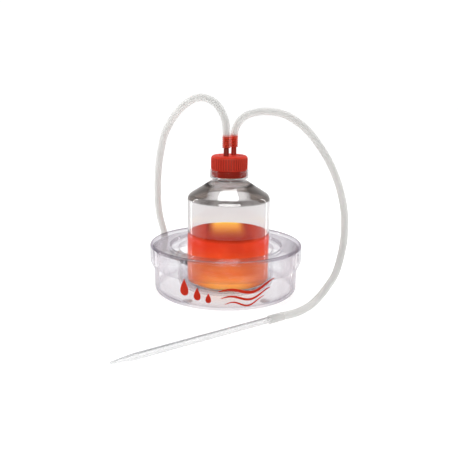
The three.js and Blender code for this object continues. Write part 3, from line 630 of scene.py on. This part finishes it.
def make_thread():
    """The neck's thread, a rounded ridge that runs out at both ends."""
    bm = bmesh.new()
    turns, steps, sides = 1.5, 110, 10
    rings = []
    for i in range(steps + 1):
        share = i / steps
        angle = share * turns * 2 * math.pi
        size = 0.9 * min(1, ease(share / 0.06), ease((1 - share) / 0.06)) + 0.02
        height = THREAD_BOTTOM + share * turns * THREAD_PITCH
        ring = []
        for k in range(sides):
            around = 2 * math.pi * k / sides
            r = NECK + size * math.cos(around)
            z = height + size * math.sin(around)
            ring.append(bm.verts.new((
                (BOTTLE_X + r * math.cos(angle)) * MM, r * math.sin(angle) * MM, z * MM
            )))
        rings.append(ring)
    for low, high in zip(rings, rings[1:]):
        for k in range(sides):
            n = (k + 1) % sides
            bm.faces.new((low[k], low[n], high[n], high[k]))
    bm.faces.new(rings[0])
    bm.faces.new(rings[-1])
    return add_mesh("neck_thread", bm, 60)


thread = make_thread()
LIQUID_TOP = 64.2
liquid = lathe("orange_liquid", dense(rounded([
    (0, 15.2), (31, 14.6, 2), (35.4, 12.2, 1), (41.63, 12.2, 2.7), (41.63, LIQUID_TOP + 0.9),
    (41.2, LIQUID_TOP + 0.45), (40.4, LIQUID_TOP + 0.15), (38.8, LIQUID_TOP), (0, LIQUID_TOP),
], 7), 4), 200, (BOTTLE_X, 0), None, 60)
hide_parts("collected_liquid")
paint(liquid, "top", lambda x, y, z: ease((z - LIQUID_TOP + 0.25) / 0.2))


def liquid_glow(x, y, z):
    """Light that comes through the thin back of the surface, and up through the middle of the foot."""
    at_back = ease((y + 34) / 72) * (1 - ease((abs(x - BOTTLE_X + 1) - 11) / 11))
    below = (1 - ease((z - 14) / 16)) * (1 - ease((abs(x) - 10) / 30))
    return at_back if z > LIQUID_TOP - 2 else below


def painted_surface_lobe(x, y, z):
    """Painted light: the two redder sides of the surface, left and right of its middle, where the curved
    wall bends the view of it.
    """
    return ease((abs(x - BOTTLE_X) - 21) / 5)


def painted_dark_wedge(x, y, z):
    """Painted shade: the dark streak between the glow and the left lobe."""
    return 0.7 * ease((5 - abs(x - BOTTLE_X + 20)) / 4) * ease((y + 10) / 20)


paint(liquid, "low", lambda x, y, z: ease((54 - z) / 22))
paint(liquid, "glow", liquid_glow)
paint(liquid, "lobe", painted_surface_lobe)
paint(liquid, "wedge", painted_dark_wedge)

# ---------------------------------------------------------------- cap and ports

RIBS = 44


def cap_shape(r, z, angle):
    """Grip ribs that fade out under the rounded top and above the band."""
    if r < 18.3:
        return r
    share = ease((z - 131.4) / 0.8) * ease((144.3 - z) / 2.2)
    rib = max(0.0, math.cos(RIBS * angle)) ** 0.6
    return r + (0.5 * rib - 0.06) * share


cap = lathe("ribbed_cap", dense(rounded([
    (15.8, 123.8, 0.3), (18, 123.8, 0.5), (18, 130.6, 0.2), (18.1, 131.0, 0.1),
    (18.75, 131.2, 0.25), (18.6, 132, 0.1), (18.6, 145.3, 2.3), (12.2, 145.3, 0.4), (11.9, 145.1, 0.2),
    (10.9, 145.1, 0.25), (10.9, 143.4), (15.8, 143.4, 0.5),
], 6), 1.6), RIBS * 8, (BOTTLE_X, 0), cap_shape, 40)
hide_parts("screw_cap")


def rib_shade(x, y, z):
    """The bottoms of the grooves between the ribs are darker."""
    r = math.hypot(x - BOTTLE_X, y)
    return 0.5 * (r > 17.9) * (1 - ease((r - 18.5) / 0.45)) * band(131.8, 143, 0.6)(z)


paint(cap, "shade", rib_shade)


def barb_outline(bottom, length, teeth=4):
    """The rings of a hose barb, each tapering towards the tip."""
    pitch = length / teeth
    points = []
    for tooth in range(teeth):
        z = bottom + tooth * pitch
        points += [(2.42, z, 0.12), (2.0, z + pitch * 0.9, 0.1)]
    return points


def make_ports():
    bm = bmesh.new()
    lathe_into(bm, rounded([
        (0, 141.2), (15.2, 141.2, 0.3), (15.2, 142.2, 0.3), (10.5, 142.2), (10.5, 145.1, 0.5),
        (0, 145.1),
    ], 4), 96, (BOTTLE_X, 0))
    for place in PORTS:
        lathe_into(bm, rounded([
            (1.3, 133), (2.3, 133, 0.3), (2.3, 141.6), (3.3, 142.6), (3.3, 145.2, 0.3),
            (2.8, 145.9, 0.4), (2.7, 153.0, 0.3), (2.05, 153.4, 0.1),
            *barb_outline(153.6, 11.2), (1.75, BARB_TOP, 0.15), (1.3, BARB_TOP),
        ], 4), 40, place)
    return add_mesh("twin_ports", bm, 45)


ports = make_ports()
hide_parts("port_insert")
# Painted shade on the port necks above the cap, darker on the left one than on the right.
paint(ports, "shade", lambda x, y, z: (1 if x < BOTTLE_X else 0.6) * ease((z - 145.3) / 1))

# ---------------------------------------------------------------- graphic on the tray's front


STAND_OFF = 0.05  # of the print from the wall
PRINT_THICKNESS = 0.09


def wall_point(along, height, stand_off):
    """A place on the tray's front wall. along is the distance to the right round the wall."""
    lean = DRAFT * (height - TRAY_BOTTOM) / (TRAY_TOP - TRAY_BOTTOM)
    radius = TRAY_RADIUS + lean + stand_off
    angle = -math.pi / 2 + along / radius
    return Vector((radius * math.cos(angle), radius * math.sin(angle), height)) * MM


def add_patch(bm, outline):
    """Prints a shape on the wall from an outline of (along, height), cut into rings and a fan."""
    centre_x = sum(p[0] for p in outline) / len(outline)
    centre_z = sum(p[1] for p in outline) / len(outline)
    rings = []
    for share in (1.0, 0.66, 0.33):
        rings.append([
            (centre_x + (x - centre_x) * share, centre_z + (z - centre_z) * share)
            for x, z in outline
        ])
    count = len(outline)
    borders = []
    for stand_off in (STAND_OFF, STAND_OFF + PRINT_THICKNESS):
        made = [[bm.verts.new(wall_point(x, z, stand_off)) for x, z in ring] for ring in rings]
        middle = bm.verts.new(wall_point(centre_x, centre_z, stand_off))
        borders.append(made[0])
        for big, small in zip(made, made[1:]):
            for k in range(count):
                n = (k + 1) % count
                bm.faces.new((big[k], big[n], small[n], small[k]))
        for k in range(count):
            bm.faces.new((made[-1][k], made[-1][(k + 1) % count], middle))
    low, high = borders
    for k in range(count):
        n = (k + 1) % count
        bm.faces.new((low[k], low[n], high[n], high[k]))


def drop_outline(x, z, size, count=28):
    """A falling drop: round below and pointed above."""
    points = []
    for k in range(count):
        t = 2 * math.pi * k / count
        across = size * math.sin(t) * math.sin(t / 2) ** 1.6
        points.append((x + across, z + 1.25 * size * math.cos(t)))
    return points


def stroke_outline(centre_line, width):
    """The two edges of a brush stroke that tapers at both ends."""
    left, right = [], []
    count = len(centre_line)
    for k, (x, z) in enumerate(centre_line):
        ahead = centre_line[min(k + 1, count - 1)]
        behind = centre_line[max(k - 1, 0)]
        dx, dz = ahead[0] - behind[0], ahead[1] - behind[1]
        long = math.hypot(dx, dz)
        half = width / 2 * math.sin(math.pi * (k + 0.35) / (count - 0.3)) ** 0.5
        left.append((x - dz / long * half, z + dx / long * half))
        right.append((x + dz / long * half, z - dx / long * half))
    return left, right


def add_stroke(bm, centre_line, width):
    """Prints a brush stroke on the wall."""
    left, right = stroke_outline(centre_line, width)
    layers = []
    for stand_off in (STAND_OFF, STAND_OFF + PRINT_THICKNESS):
        layers.append([
            [bm.verts.new(wall_point(*p, stand_off)) for p in edge] for edge in (left, right)
        ])
    (low_l, low_r), (top_l, top_r) = layers
    for k in range(len(left) - 1):
        bm.faces.new((low_l[k], low_l[k + 1], low_r[k + 1], low_r[k]))
        bm.faces.new((top_l[k], top_l[k + 1], top_r[k + 1], top_r[k]))
        bm.faces.new((low_l[k], low_l[k + 1], top_l[k + 1], top_l[k]))
        bm.faces.new((low_r[k], low_r[k + 1], top_r[k + 1], top_r[k]))
    for k in (0, -1):
        bm.faces.new((low_l[k], low_r[k], top_r[k], top_l[k]))


def make_graphic():
    """Three drops and three flowing strokes, printed in red."""
    bm = bmesh.new()
    for x, z, size in ((-45, 23.5, 7.2), (-30.5, 18.6, 5.4), (-19, 15.6, 4.2)):
        add_patch(bm, drop_outline(x, z, size))
    for lift, start, end, width in ((7.0, -9, 50, 3.1), (0.0, -7, 45, 2.4), (-6.0, -3, 38, 1.8)):
        line = []
        for k in range(61):
            share = k / 60
            x = start + (end - start) * share
            z = 15.4 + lift + 2.6 * math.sin(share * 2.6 * math.pi) + 6 * (x / 45) ** 2
            line.append((x, z))
        add_stroke(bm, line, width)
    return add_mesh("front_graphic", bm, 40)


graphic = make_graphic()

# ---------------------------------------------------------------- materials


class Tree:
    """A short way to build a node material."""

    def __init__(self, name):
        self.material = bpy.data.materials.new(name)
        self.material.use_nodes = True
        self.tree = self.material.node_tree
        self.tree.nodes.clear()
        self.output = self.add("OutputMaterial")
        self.place = self.add("TexCoord").outputs["Object"]

    def add(self, kind, **settings):
        node = self.tree.nodes.new("ShaderNode" + kind)
        for key, value in settings.items():
            setattr(node, key, value)
        return node

    def link(self, source, node, socket):
        self.tree.links.new(source, node.inputs[socket])

    def surface(self, shader):
        self.link(shader, self.output, "Surface")
        return self.material

    def put(self, socket, value):
        """Links an input to an output, or gives it a plain value."""
        if isinstance(value, bpy.types.NodeSocket):
            self.tree.links.new(value, socket)
        elif isinstance(value, tuple) and len(value) == 3 and socket.type == "RGBA":
            socket.default_value = (*value, 1)
        else:
            socket.default_value = value

    def set(self, node, **values):
        for key, value in values.items():
            self.put(node.inputs[key.replace("_", " ")], value)
        return node

    def noise(self, scale, detail=3.0, roughness=0.5, stretch=None):
        texture = self.add("TexNoise")
        self.set(texture, Scale=scale, Detail=detail, Roughness=roughness)
        if stretch:
            mapping = self.add("Mapping")
            self.set(mapping, Scale=stretch)
            self.link(self.place, mapping, "Vector")
            self.link(mapping.outputs[0], texture, "Vector")
        else:
            self.link(self.place, texture, "Vector")
        return texture.outputs["Fac"]

    def attribute(self, name):
        return self.add("Attribute", attribute_name=name).outputs["Fac"]

    def span(self, value, low, high, start=0.0, end=1.0):
        node = self.add("MapRange")
        for index, item in ((1, start), (2, end), (3, low), (4, high)):
            node.inputs[index].default_value = item
        self.link(value, node, 0)
        return node.outputs[0]

    def math(self, operation, a, b):
        node = self.add("Math", operation=operation)
        self.put(node.inputs[0], a)
        self.put(node.inputs[1], b)
        return node.outputs[0]

    def colour(self, fac, first, second):
        node = self.add("Mix", data_type="RGBA")
        self.link(fac, node, 0)
        self.put(node.inputs[6], first)  # the colour sockets A and B
        self.put(node.inputs[7], second)
        return node.outputs[2]

    def bump(self, height, strength, distance):
        node = self.set(self.add("Bump"), Strength=strength, Distance=distance)
        self.link(height, node, "Height")
        return node.outputs[0]

    def slant(self, power):
        """0 where a surface faces the eye, rising to 1 where it is seen edge on."""
        facing = self.set(self.add("LayerWeight"), Blend=0.5).outputs["Facing"]
        return self.math("POWER", facing, power)

    def mirror(self, head_on, normal):
        """The share that a smooth surface mirrors, the same from inside and outside."""
        facing = self.set(self.add("LayerWeight"), Blend=0.5)
        self.link(normal, facing, "Normal")
        steep = self.math("POWER", facing.outputs["Facing"], 5.0)
        return self.math("ADD", self.math("MULTIPLY", steep, 1 - head_on), head_on)

    def mix(self, fac, first, second):
        node = self.add("MixShader")
        self.put(node.inputs[0], fac)
        self.link(first, node, 1)
        self.link(second, node, 2)
        return node.outputs[0]

    def plus(self, first, second):
        node = self.add("AddShader")
        self.link(first, node, 0)
        self.link(second, node, 1)
        return node.outputs[0]


def moulded(
    name, colour, roughness=0.4, grain=900.0, depth=0.00004, vary=0.12, sheen=0.5,
    gleam=(1, 1, 1), shade=None,
):
    """Moulded plastic or rubber: a fine grain, slow colour variation and patches of wear."""
    t = Tree(name)
    slow = t.noise(38, 4)
    fine = t.noise(grain, 3, 0.6)
    darker = tuple(c * (1 - vary) for c in colour)
    lighter = tuple(min(1, c * (1 + vary)) for c in colour)
    shader = t.add("BsdfPrincipled")
    varied = t.colour(t.span(slow, 0, 1, 0.3, 0.7), darker, lighter)
    # Painted shade: a shade attribute darkens the colour towards a third of itself.
    if shade:
        varied = t.colour(t.attribute(shade), varied, tuple(c * 0.3 for c in colour))
    t.set(
        shader,
        Base_Color=varied,
        Roughness=t.span(t.noise(150, 3), roughness - 0.06, roughness + 0.08, 0.3, 0.7),
        Normal=t.bump(fine, 0.35, depth),
        Specular_IOR_Level=sheen,
        Specular_Tint=gleam,
    )
    return t.surface(shader.outputs[0])


def metal(name, colour, roughness=0.3, stretch=(1, 30, 30)):
    """Plated or turned metal with fine tool marks and faint tarnish."""
    t = Tree(name)
    marks = t.noise(420, 3, 0.6, stretch)
    tarnish = t.noise(60, 4)
    darker = tuple(c * 0.78 for c in colour)
    shader = t.add("BsdfPrincipled")
    t.set(
        shader,
        Base_Color=t.colour(t.span(tarnish, 0, 1, 0.4, 0.75), colour, darker),
        Metallic=1.0,
        Roughness=t.span(marks, roughness - 0.08, roughness + 0.12, 0.3, 0.7),
        Normal=t.bump(marks, 0.25, 0.00003),
    )
    return t.surface(shader.outputs[0])


def clear_plastic(name, tint, slant_tint, painted_shade_tint, haze, haze_colour, roughness, grain, gloss):
    """Clear moulded plastic that is seen straight through, darker where it is seen at a slant."""
    t = Tree(name)
    cloud = t.span(t.noise(26, 4), 0, 1, 0.35, 0.65)
    flow = t.noise(60, 3, 0.55, (1, 1, 0.12))
    slanted = t.math("MULTIPLY", t.slant(2.0), t.span(t.attribute("thin"), 1.0, 0.0))
    wall_tint = t.colour(slanted, tint, slant_tint)
    # Painted shade: the depth attribute darkens the wall's colour.
    tinted = t.colour(t.attribute("depth"), wall_tint, painted_shade_tint)
    through = t.set(t.add("BsdfTransparent"), Color=tinted)
    cloudy = t.colour(cloud, haze_colour, tuple(min(1, c * 1.1) for c in haze_colour))
    veil = t.set(t.add("BsdfDiffuse"), Color=cloudy)
    glow = t.set(t.add("BsdfTranslucent"), Color=cloudy)
    body = t.mix(0.5, veil.outputs[0], glow.outputs[0])
    patchy = t.math("MULTIPLY", t.span(flow, haze * 0.7, haze * 1.3, 0.3, 0.7), t.attribute("haze"))
    amount = t.math("MULTIPLY", patchy, t.span(t.slant(1.5), 0.15, 2.6))
    wall = t.mix(amount, through.outputs[0], body)
    normal = t.bump(t.noise(grain, 2, 0.5), 0.2, 0.00003)
    shine = t.set(
        t.add("BsdfGlossy"), Color=(1, 1, 1), Normal=normal,
        Roughness=t.span(t.noise(90, 3), roughness * 0.7, roughness * 1.5, 0.3, 0.7),
    )
    share = t.math("MULTIPLY", t.mirror(0.06, normal), gloss)
    return t.surface(t.mix(share, wall, shine.outputs[0]))


def clear_glassy(name, tint, painted_shade_tint):
    """Clear blown plastic that bends what is seen through it, and lets the lamps in. Painted shade
    darkens its colour where the wall is thick and where the shoulder turns away.
    """
    t = Tree(name)
    streaks = t.span(t.noise(70, 3, 0.5, (1, 1, 0.5)), 0.7, 1.2, 0.3, 0.7)
    # Painted shade: the depth attribute, and the slope attribute where the shoulder turns away, darken
    # the colour.
    turned = t.math("MULTIPLY", t.attribute("slope"), t.span(t.slant(2.0), 0.0, 3.4))
    dark = t.math("MULTIPLY", t.math("MAXIMUM", t.attribute("depth"), turned), streaks)
    colour = t.colour(dark, tint, painted_shade_tint)
    glass = t.add("BsdfPrincipled")
    t.set(
        glass,
        Base_Color=colour,
        Roughness=t.span(t.noise(70, 3), 0.0, 0.05, 0.35, 0.7),
        IOR=1.46,
        Transmission_Weight=1.0,
        Normal=t.bump(t.noise(34, 2, 0.4), 0.12, 0.0006),
    )
    open_way = t.set(t.add("BsdfTransparent"), Color=colour)
    path = t.add("LightPath")
    passes = t.math("MAXIMUM", path.outputs["Is Shadow Ray"], path.outputs["Is Diffuse Ray"])
    passes = t.math("MAXIMUM", passes, t.math("MULTIPLY", t.attribute("collar"), 0.8))
    return t.surface(t.mix(passes, glass.outputs[0], open_way.outputs[0]))


def liquid_material():
    """Clear orange dye, red above. Light and shade are painted into its colour: more orange lower down,
    browner where its flat top is seen, with redder sides, a dark streak and a yellow glow at the back of
    the top. It also glows a little by emission, as painted light.
    """
    t = Tree("orange_liquid")
    top, low, glow = (t.attribute(name) for name in ("top", "low", "glow"))
    slow = t.span(t.noise(20, 3), 0, 1, 0.3, 0.7)
    side_tint = t.colour(slow, (0.95, 0.22, 0.1), (0.96, 0.27, 0.13))
    rings = t.span(t.noise(55, 3, 0.5, (0.12, 0.12, 2.5)), 0, 1, 0.35, 0.65)
    # Painted light: the colours turn more orange lower down and yellow where the glow is painted.
    low_tint = t.colour(glow, (0.97, 0.42, 0.2), (1.0, 0.66, 0.3))
    top_tint = t.colour(glow, (0.7, 0.14, 0.05), (1.0, 0.95, 0.35))
    tint = t.colour(top, t.colour(low, side_tint, low_tint), top_tint)
    side_body = t.colour(slow, (0.95, 0.07, 0.02), (0.96, 0.1, 0.03))
    amber = t.colour(rings, (0.93, 0.17, 0.03), (1.0, 0.3, 0.06))
    low_body = t.colour(glow, amber, (1.0, 0.52, 0.1))
    # Painted light and shade on the flat top: redder sides, a dark streak and a yellow glow at the back.
    middle_body = t.colour(t.attribute("lobe"), (0.54, 0.05, 0.006), (0.82, 0.1, 0.02))
    middle_body = t.colour(t.attribute("wedge"), middle_body, (0.25, 0.02, 0.008))
    top_body = t.colour(glow, middle_body, (1.0, 0.68, 0.09))
    colour = t.colour(top, t.colour(low, side_body, low_body), top_body)
    through = t.set(t.add("BsdfTransparent"), Color=tint)
    veil = t.set(t.add("BsdfDiffuse"), Color=colour)
    scatter = t.set(t.add("BsdfTranslucent"), Color=colour)
    body = t.mix(0.5, veil.outputs[0], scatter.outputs[0])
    wall = t.mix(0.5, through.outputs[0], body)
    # Painted glow: the liquid emits light, more on its sides than on its top, and most where the glow is
    # painted.
    painted_glow_strength = t.math("ADD", t.span(top, 0.3, 0.1), t.math("MULTIPLY", glow, 0.35))
    lit = t.set(t.add("Emission"), Color=colour, Strength=painted_glow_strength)
    with_painted_glow = t.plus(wall, lit.outputs[0])
    normal = t.bump(t.noise(24, 2), 0.1, 0.0006)
    shine = t.set(t.add("BsdfGlossy"), Color=(1, 0.9, 0.85), Roughness=0.03, Normal=normal)
    share = t.math("MULTIPLY", t.mirror(0.02, normal), t.span(top, 0.4, 0.06))
    return t.surface(t.mix(share, with_painted_glow, shine.outputs[0]))


def hose_material():
    """Milky tubing, painted a darker grey at its edges as shade, where it is seen at a slant. Where it is
    stretched over a red barb it takes on the barb's colour.
    """
    t = Tree("hose")
    clear, red = t.attribute("clear"), t.attribute("red")
    cloud = t.span(t.noise(45, 3), 0, 1, 0.3, 0.7)
    through = t.set(t.add("BsdfTransparent"), Color=(0.97, 0.97, 0.965))
    milky = t.colour(cloud, (0.93, 0.93, 0.92), (0.97, 0.97, 0.96))
    # Painted shade: the edges, seen at a slant, turn darker grey.
    milky = t.colour(t.slant(2.5), milky, (0.68, 0.68, 0.67))
    colour = t.colour(red, milky, (0.86, 0.1, 0.05))
    veil = t.set(t.add("BsdfDiffuse"), Color=colour)
    glow = t.set(t.add("BsdfTranslucent"), Color=colour)
    body = t.mix(0.5, veil.outputs[0], glow.outputs[0])
    milk = t.math("SUBTRACT", t.span(clear, 0.82, 0.7), t.math("MULTIPLY", t.attribute("pale"), 0.3))
    wall = t.mix(milk, through.outputs[0], body)
    normal = t.bump(t.noise(160, 2), 0.1, 0.00004)
    shine = t.set(t.add("BsdfGlossy"), Color=(1, 1, 1), Roughness=0.3, Normal=normal)
    share = t.math("MULTIPLY", t.mirror(0.05, normal), t.span(red, 0.28, 0.15))
    return t.surface(t.mix(share, wall, shine.outputs[0]))


MATERIALS = {
    "clear_base": clear_plastic(
        "clear_base", (0.988, 0.989, 0.993), (0.942, 0.942, 0.956), (0.4, 0.36, 0.41),
        0.045, (0.82, 0.84, 0.89), 0.07, 700, 0.45,
    ),
    "clear_bottle": clear_glassy("clear_bottle", (0.8, 0.785, 0.785), (0.05, 0.032, 0.024)),
    "liquid": liquid_material(),
    "red_plastic": moulded(
        "red_plastic", (0.7, 0.032, 0.012), 0.5, 1100, 0.00005, 0.1, 0.15, (1, 0.6, 0.5), "shade",
    ),
    "hose": hose_material(),
    "pipette_plastic": clear_plastic(
        "pipette_plastic", (0.98, 0.98, 0.98), (0.86, 0.87, 0.88), (0.25, 0.26, 0.27),
        0.4, (0.95, 0.95, 0.96), 0.12, 900, 0.6,
    ),
    "pale_rubber": moulded("pale_rubber", (0.9, 0.9, 0.89), 0.6, 1200, 0.00005, 0.05),
    "rubber": moulded("rubber", (0.025, 0.025, 0.028), 0.75, 1400, 0.00008, 0.3),
    "steel": metal("steel", (0.6, 0.61, 0.63), 0.3),
    "brass": metal("brass", (0.7, 0.5, 0.22), 0.28),
    "black_plastic": moulded("black_plastic", (0.02, 0.021, 0.024), 0.45, 1200, 0.00006, 0.25),
    "grey_plastic": moulded("grey_plastic", (0.24, 0.26, 0.28), 0.45, 1200, 0.00006, 0.12),
    "white_plastic": moulded("white_plastic", (0.78, 0.77, 0.72), 0.4, 1000, 0.00005, 0.05),
    "red_wire": moulded("red_wire", (0.5, 0.02, 0.015), 0.4, 1500, 0.00004, 0.1),
    "black_wire": moulded("black_wire", (0.015, 0.015, 0.016), 0.4, 1500, 0.00004, 0.2),
}


def dress(piece, slot):
    """Gives a piece the material of a slot."""
    piece.data.materials.clear()
    piece.data.materials.append(MATERIALS[slot])


def soften(piece):
    """Rounds a CAD piece's crisp edges a little and shades its round faces smooth."""
    for polygon in piece.data.polygons:
        polygon.use_smooth = True
    piece.data.set_sharp_from_angle(angle=math.radians(50))
    bevel = piece.modifiers.new("bevel", "BEVEL")
    bevel.width = 0.18 * MM
    bevel.segments = 2
    bevel.limit_method = "ANGLE"
    bevel.angle_limit = math.radians(50)


for row in frame["record"]["subparts"]:
    dress(nodes[row["node"]], row["material_slot"])
    soften(nodes[row["node"]])
for piece, slot in (
    (tray, "clear_base"), (lid, "clear_base"), (bottle, "clear_bottle"), (thread, "clear_bottle"),
    (liquid, "liquid"), (cap, "red_plastic"), (ports, "red_plastic"), (graphic, "red_plastic"),
    (vacuum_tube, "hose"), (suction_tube, "hose"), (sleeve, "hose"),
):
    dress(piece, slot)

for piece, body in (
    (tray, "base"), (lid, "base"), (graphic, "base"), (bottle, "bottle"), (thread, "bottle"),
    (liquid, "bottle"), (ports, "bottle"), (cap, "cap"), (sleeve, "base"),
):
    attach(piece, body)

# ---------------------------------------------------------------- studio

FRONT_LIGHT = 0.12
BACK_LIGHT = 0.85
SEEN_GROUND = 1.05


def make_floor():
    """White paper, out of sight in reflections, so that lamps below its level are mirrored in walls."""
    bm = bmesh.new()
    bmesh.ops.create_grid(bm, x_segments=2, y_segments=2, size=4)
    floor = add_mesh("floor", bm)
    t = Tree("floor")
    pale = t.colour(t.span(t.noise(6, 2), 0, 1, 0.3, 0.7), (0.42, 0.42, 0.42), (0.44, 0.44, 0.44))
    paper = t.set(t.add("BsdfDiffuse"), Color=pale)
    lit = t.set(t.add("Emission"), Color=(1, 1, 1), Strength=0.78)
    floor.data.materials.append(t.surface(t.plus(paper.outputs[0], lit.outputs[0])))
    floor.location = (0, 0, -0.0002)
    floor.visible_glossy = False


def softbox(name, place, target, size, radiance, mirrored_only=False):
    """A rectangular lamp of a given brightness, out of the camera's sight.

    mirrored_only makes it light no matt surface, so that it shows in glossy and clear ones only.
    """
    data = bpy.data.lights.new(name, "AREA")
    data.shape = "RECTANGLE"
    data.size, data.size_y = size
    data.energy = radiance * math.pi * size[0] * size[1]
    lamp = bpy.data.objects.new(name, data)
    scene.collection.objects.link(lamp)
    aim = Vector(target) - Vector(place)
    lamp.matrix_world = Matrix.Translation(place) @ aim.to_track_quat("-Z", "Y").to_matrix().to_4x4()
    lamp.visible_camera = False
    lamp.visible_diffuse = not mirrored_only
    return lamp


def light_only(lamp, pieces):
    """Keeps a lamp to some pieces, so that it doesn't glare in the others."""
    lit = bpy.data.collections.new(lamp.name + "_pieces")
    for piece in pieces:
        lit.objects.link(piece)
    lamp.light_linking.receiver_collection = lit


def make_world():
    """A pale studio: bright behind and beside the object, and darker on the front side."""
    world = bpy.data.worlds.new("studio")
    scene.world = world
    world.use_nodes = True
    tree = world.node_tree
    tree.nodes.clear()
    place = tree.nodes.new("ShaderNodeTexCoord")
    parts = tree.nodes.new("ShaderNodeSeparateXYZ")
    ramp = tree.nodes.new("ShaderNodeMapRange")
    path = tree.nodes.new("ShaderNodeLightPath")
    seen = tree.nodes.new("ShaderNodeMix")
    background = tree.nodes.new("ShaderNodeBackground")
    output = tree.nodes.new("ShaderNodeOutputWorld")
    tree.links.new(place.outputs["Generated"], parts.inputs[0])
    tree.links.new(parts.outputs["Y"], ramp.inputs[0])
    for index, value in ((1, -0.4), (2, 0.05), (3, FRONT_LIGHT), (4, BACK_LIGHT)):
        ramp.inputs[index].default_value = value
    tree.links.new(path.outputs["Is Camera Ray"], seen.inputs[0])
    tree.links.new(ramp.outputs[0], seen.inputs[2])
    seen.inputs[3].default_value = SEEN_GROUND
    tree.links.new(seen.outputs[0], background.inputs["Strength"])
    background.inputs["Color"].default_value = (1, 1, 1, 1)
    tree.links.new(background.outputs[0], output.inputs[0])


make_floor()
make_world()
softbox("top_box", (0, 0.12, 1.15), (0, 0.02, 0.05), (0.5, 0.42), 7.2)
softbox("front_box", (0.05, -0.85, 0.95), (0, 0, 0.08), (0.85, 0.18), 1.1)
softbox("left_box", (-1.0, 0.15, 0.5), (0, 0, 0.08), (0.55, 0.8), 1.5)
softbox("right_box", (1.0, 0.1, 0.5), (0, 0, 0.08), (0.55, 0.8), 0.4)
softbox("left_strip", (-0.9, 0.42, 0.4), (0, 0, 0.08), (0.07, 0.6), 14)
softbox("right_strip", (0.86, 0.48, 0.4), (0, 0, 0.08), (0.07, 0.6), 14)
window = softbox("window", (0.0, -0.9, 0.43), (0, 0, 0.1), (1.05, 0.62), 14, True)
light_only(window, [bottle, thread, liquid, cap, ports])
softbox("left_card", (-0.9, 0.68, -0.17), (0, 0, 0.08), (0.17, 0.34), 3.6, True)
softbox("right_card", (0.9, 0.68, -0.17), (0, 0, 0.08), (0.09, 0.34), 5.5, True)
scene.view_settings.view_transform = "Standard"
scene.cycles.transparent_max_bounces = 40
scene.cycles.max_bounces = 20
scene.cycles.transmission_bounces = 20
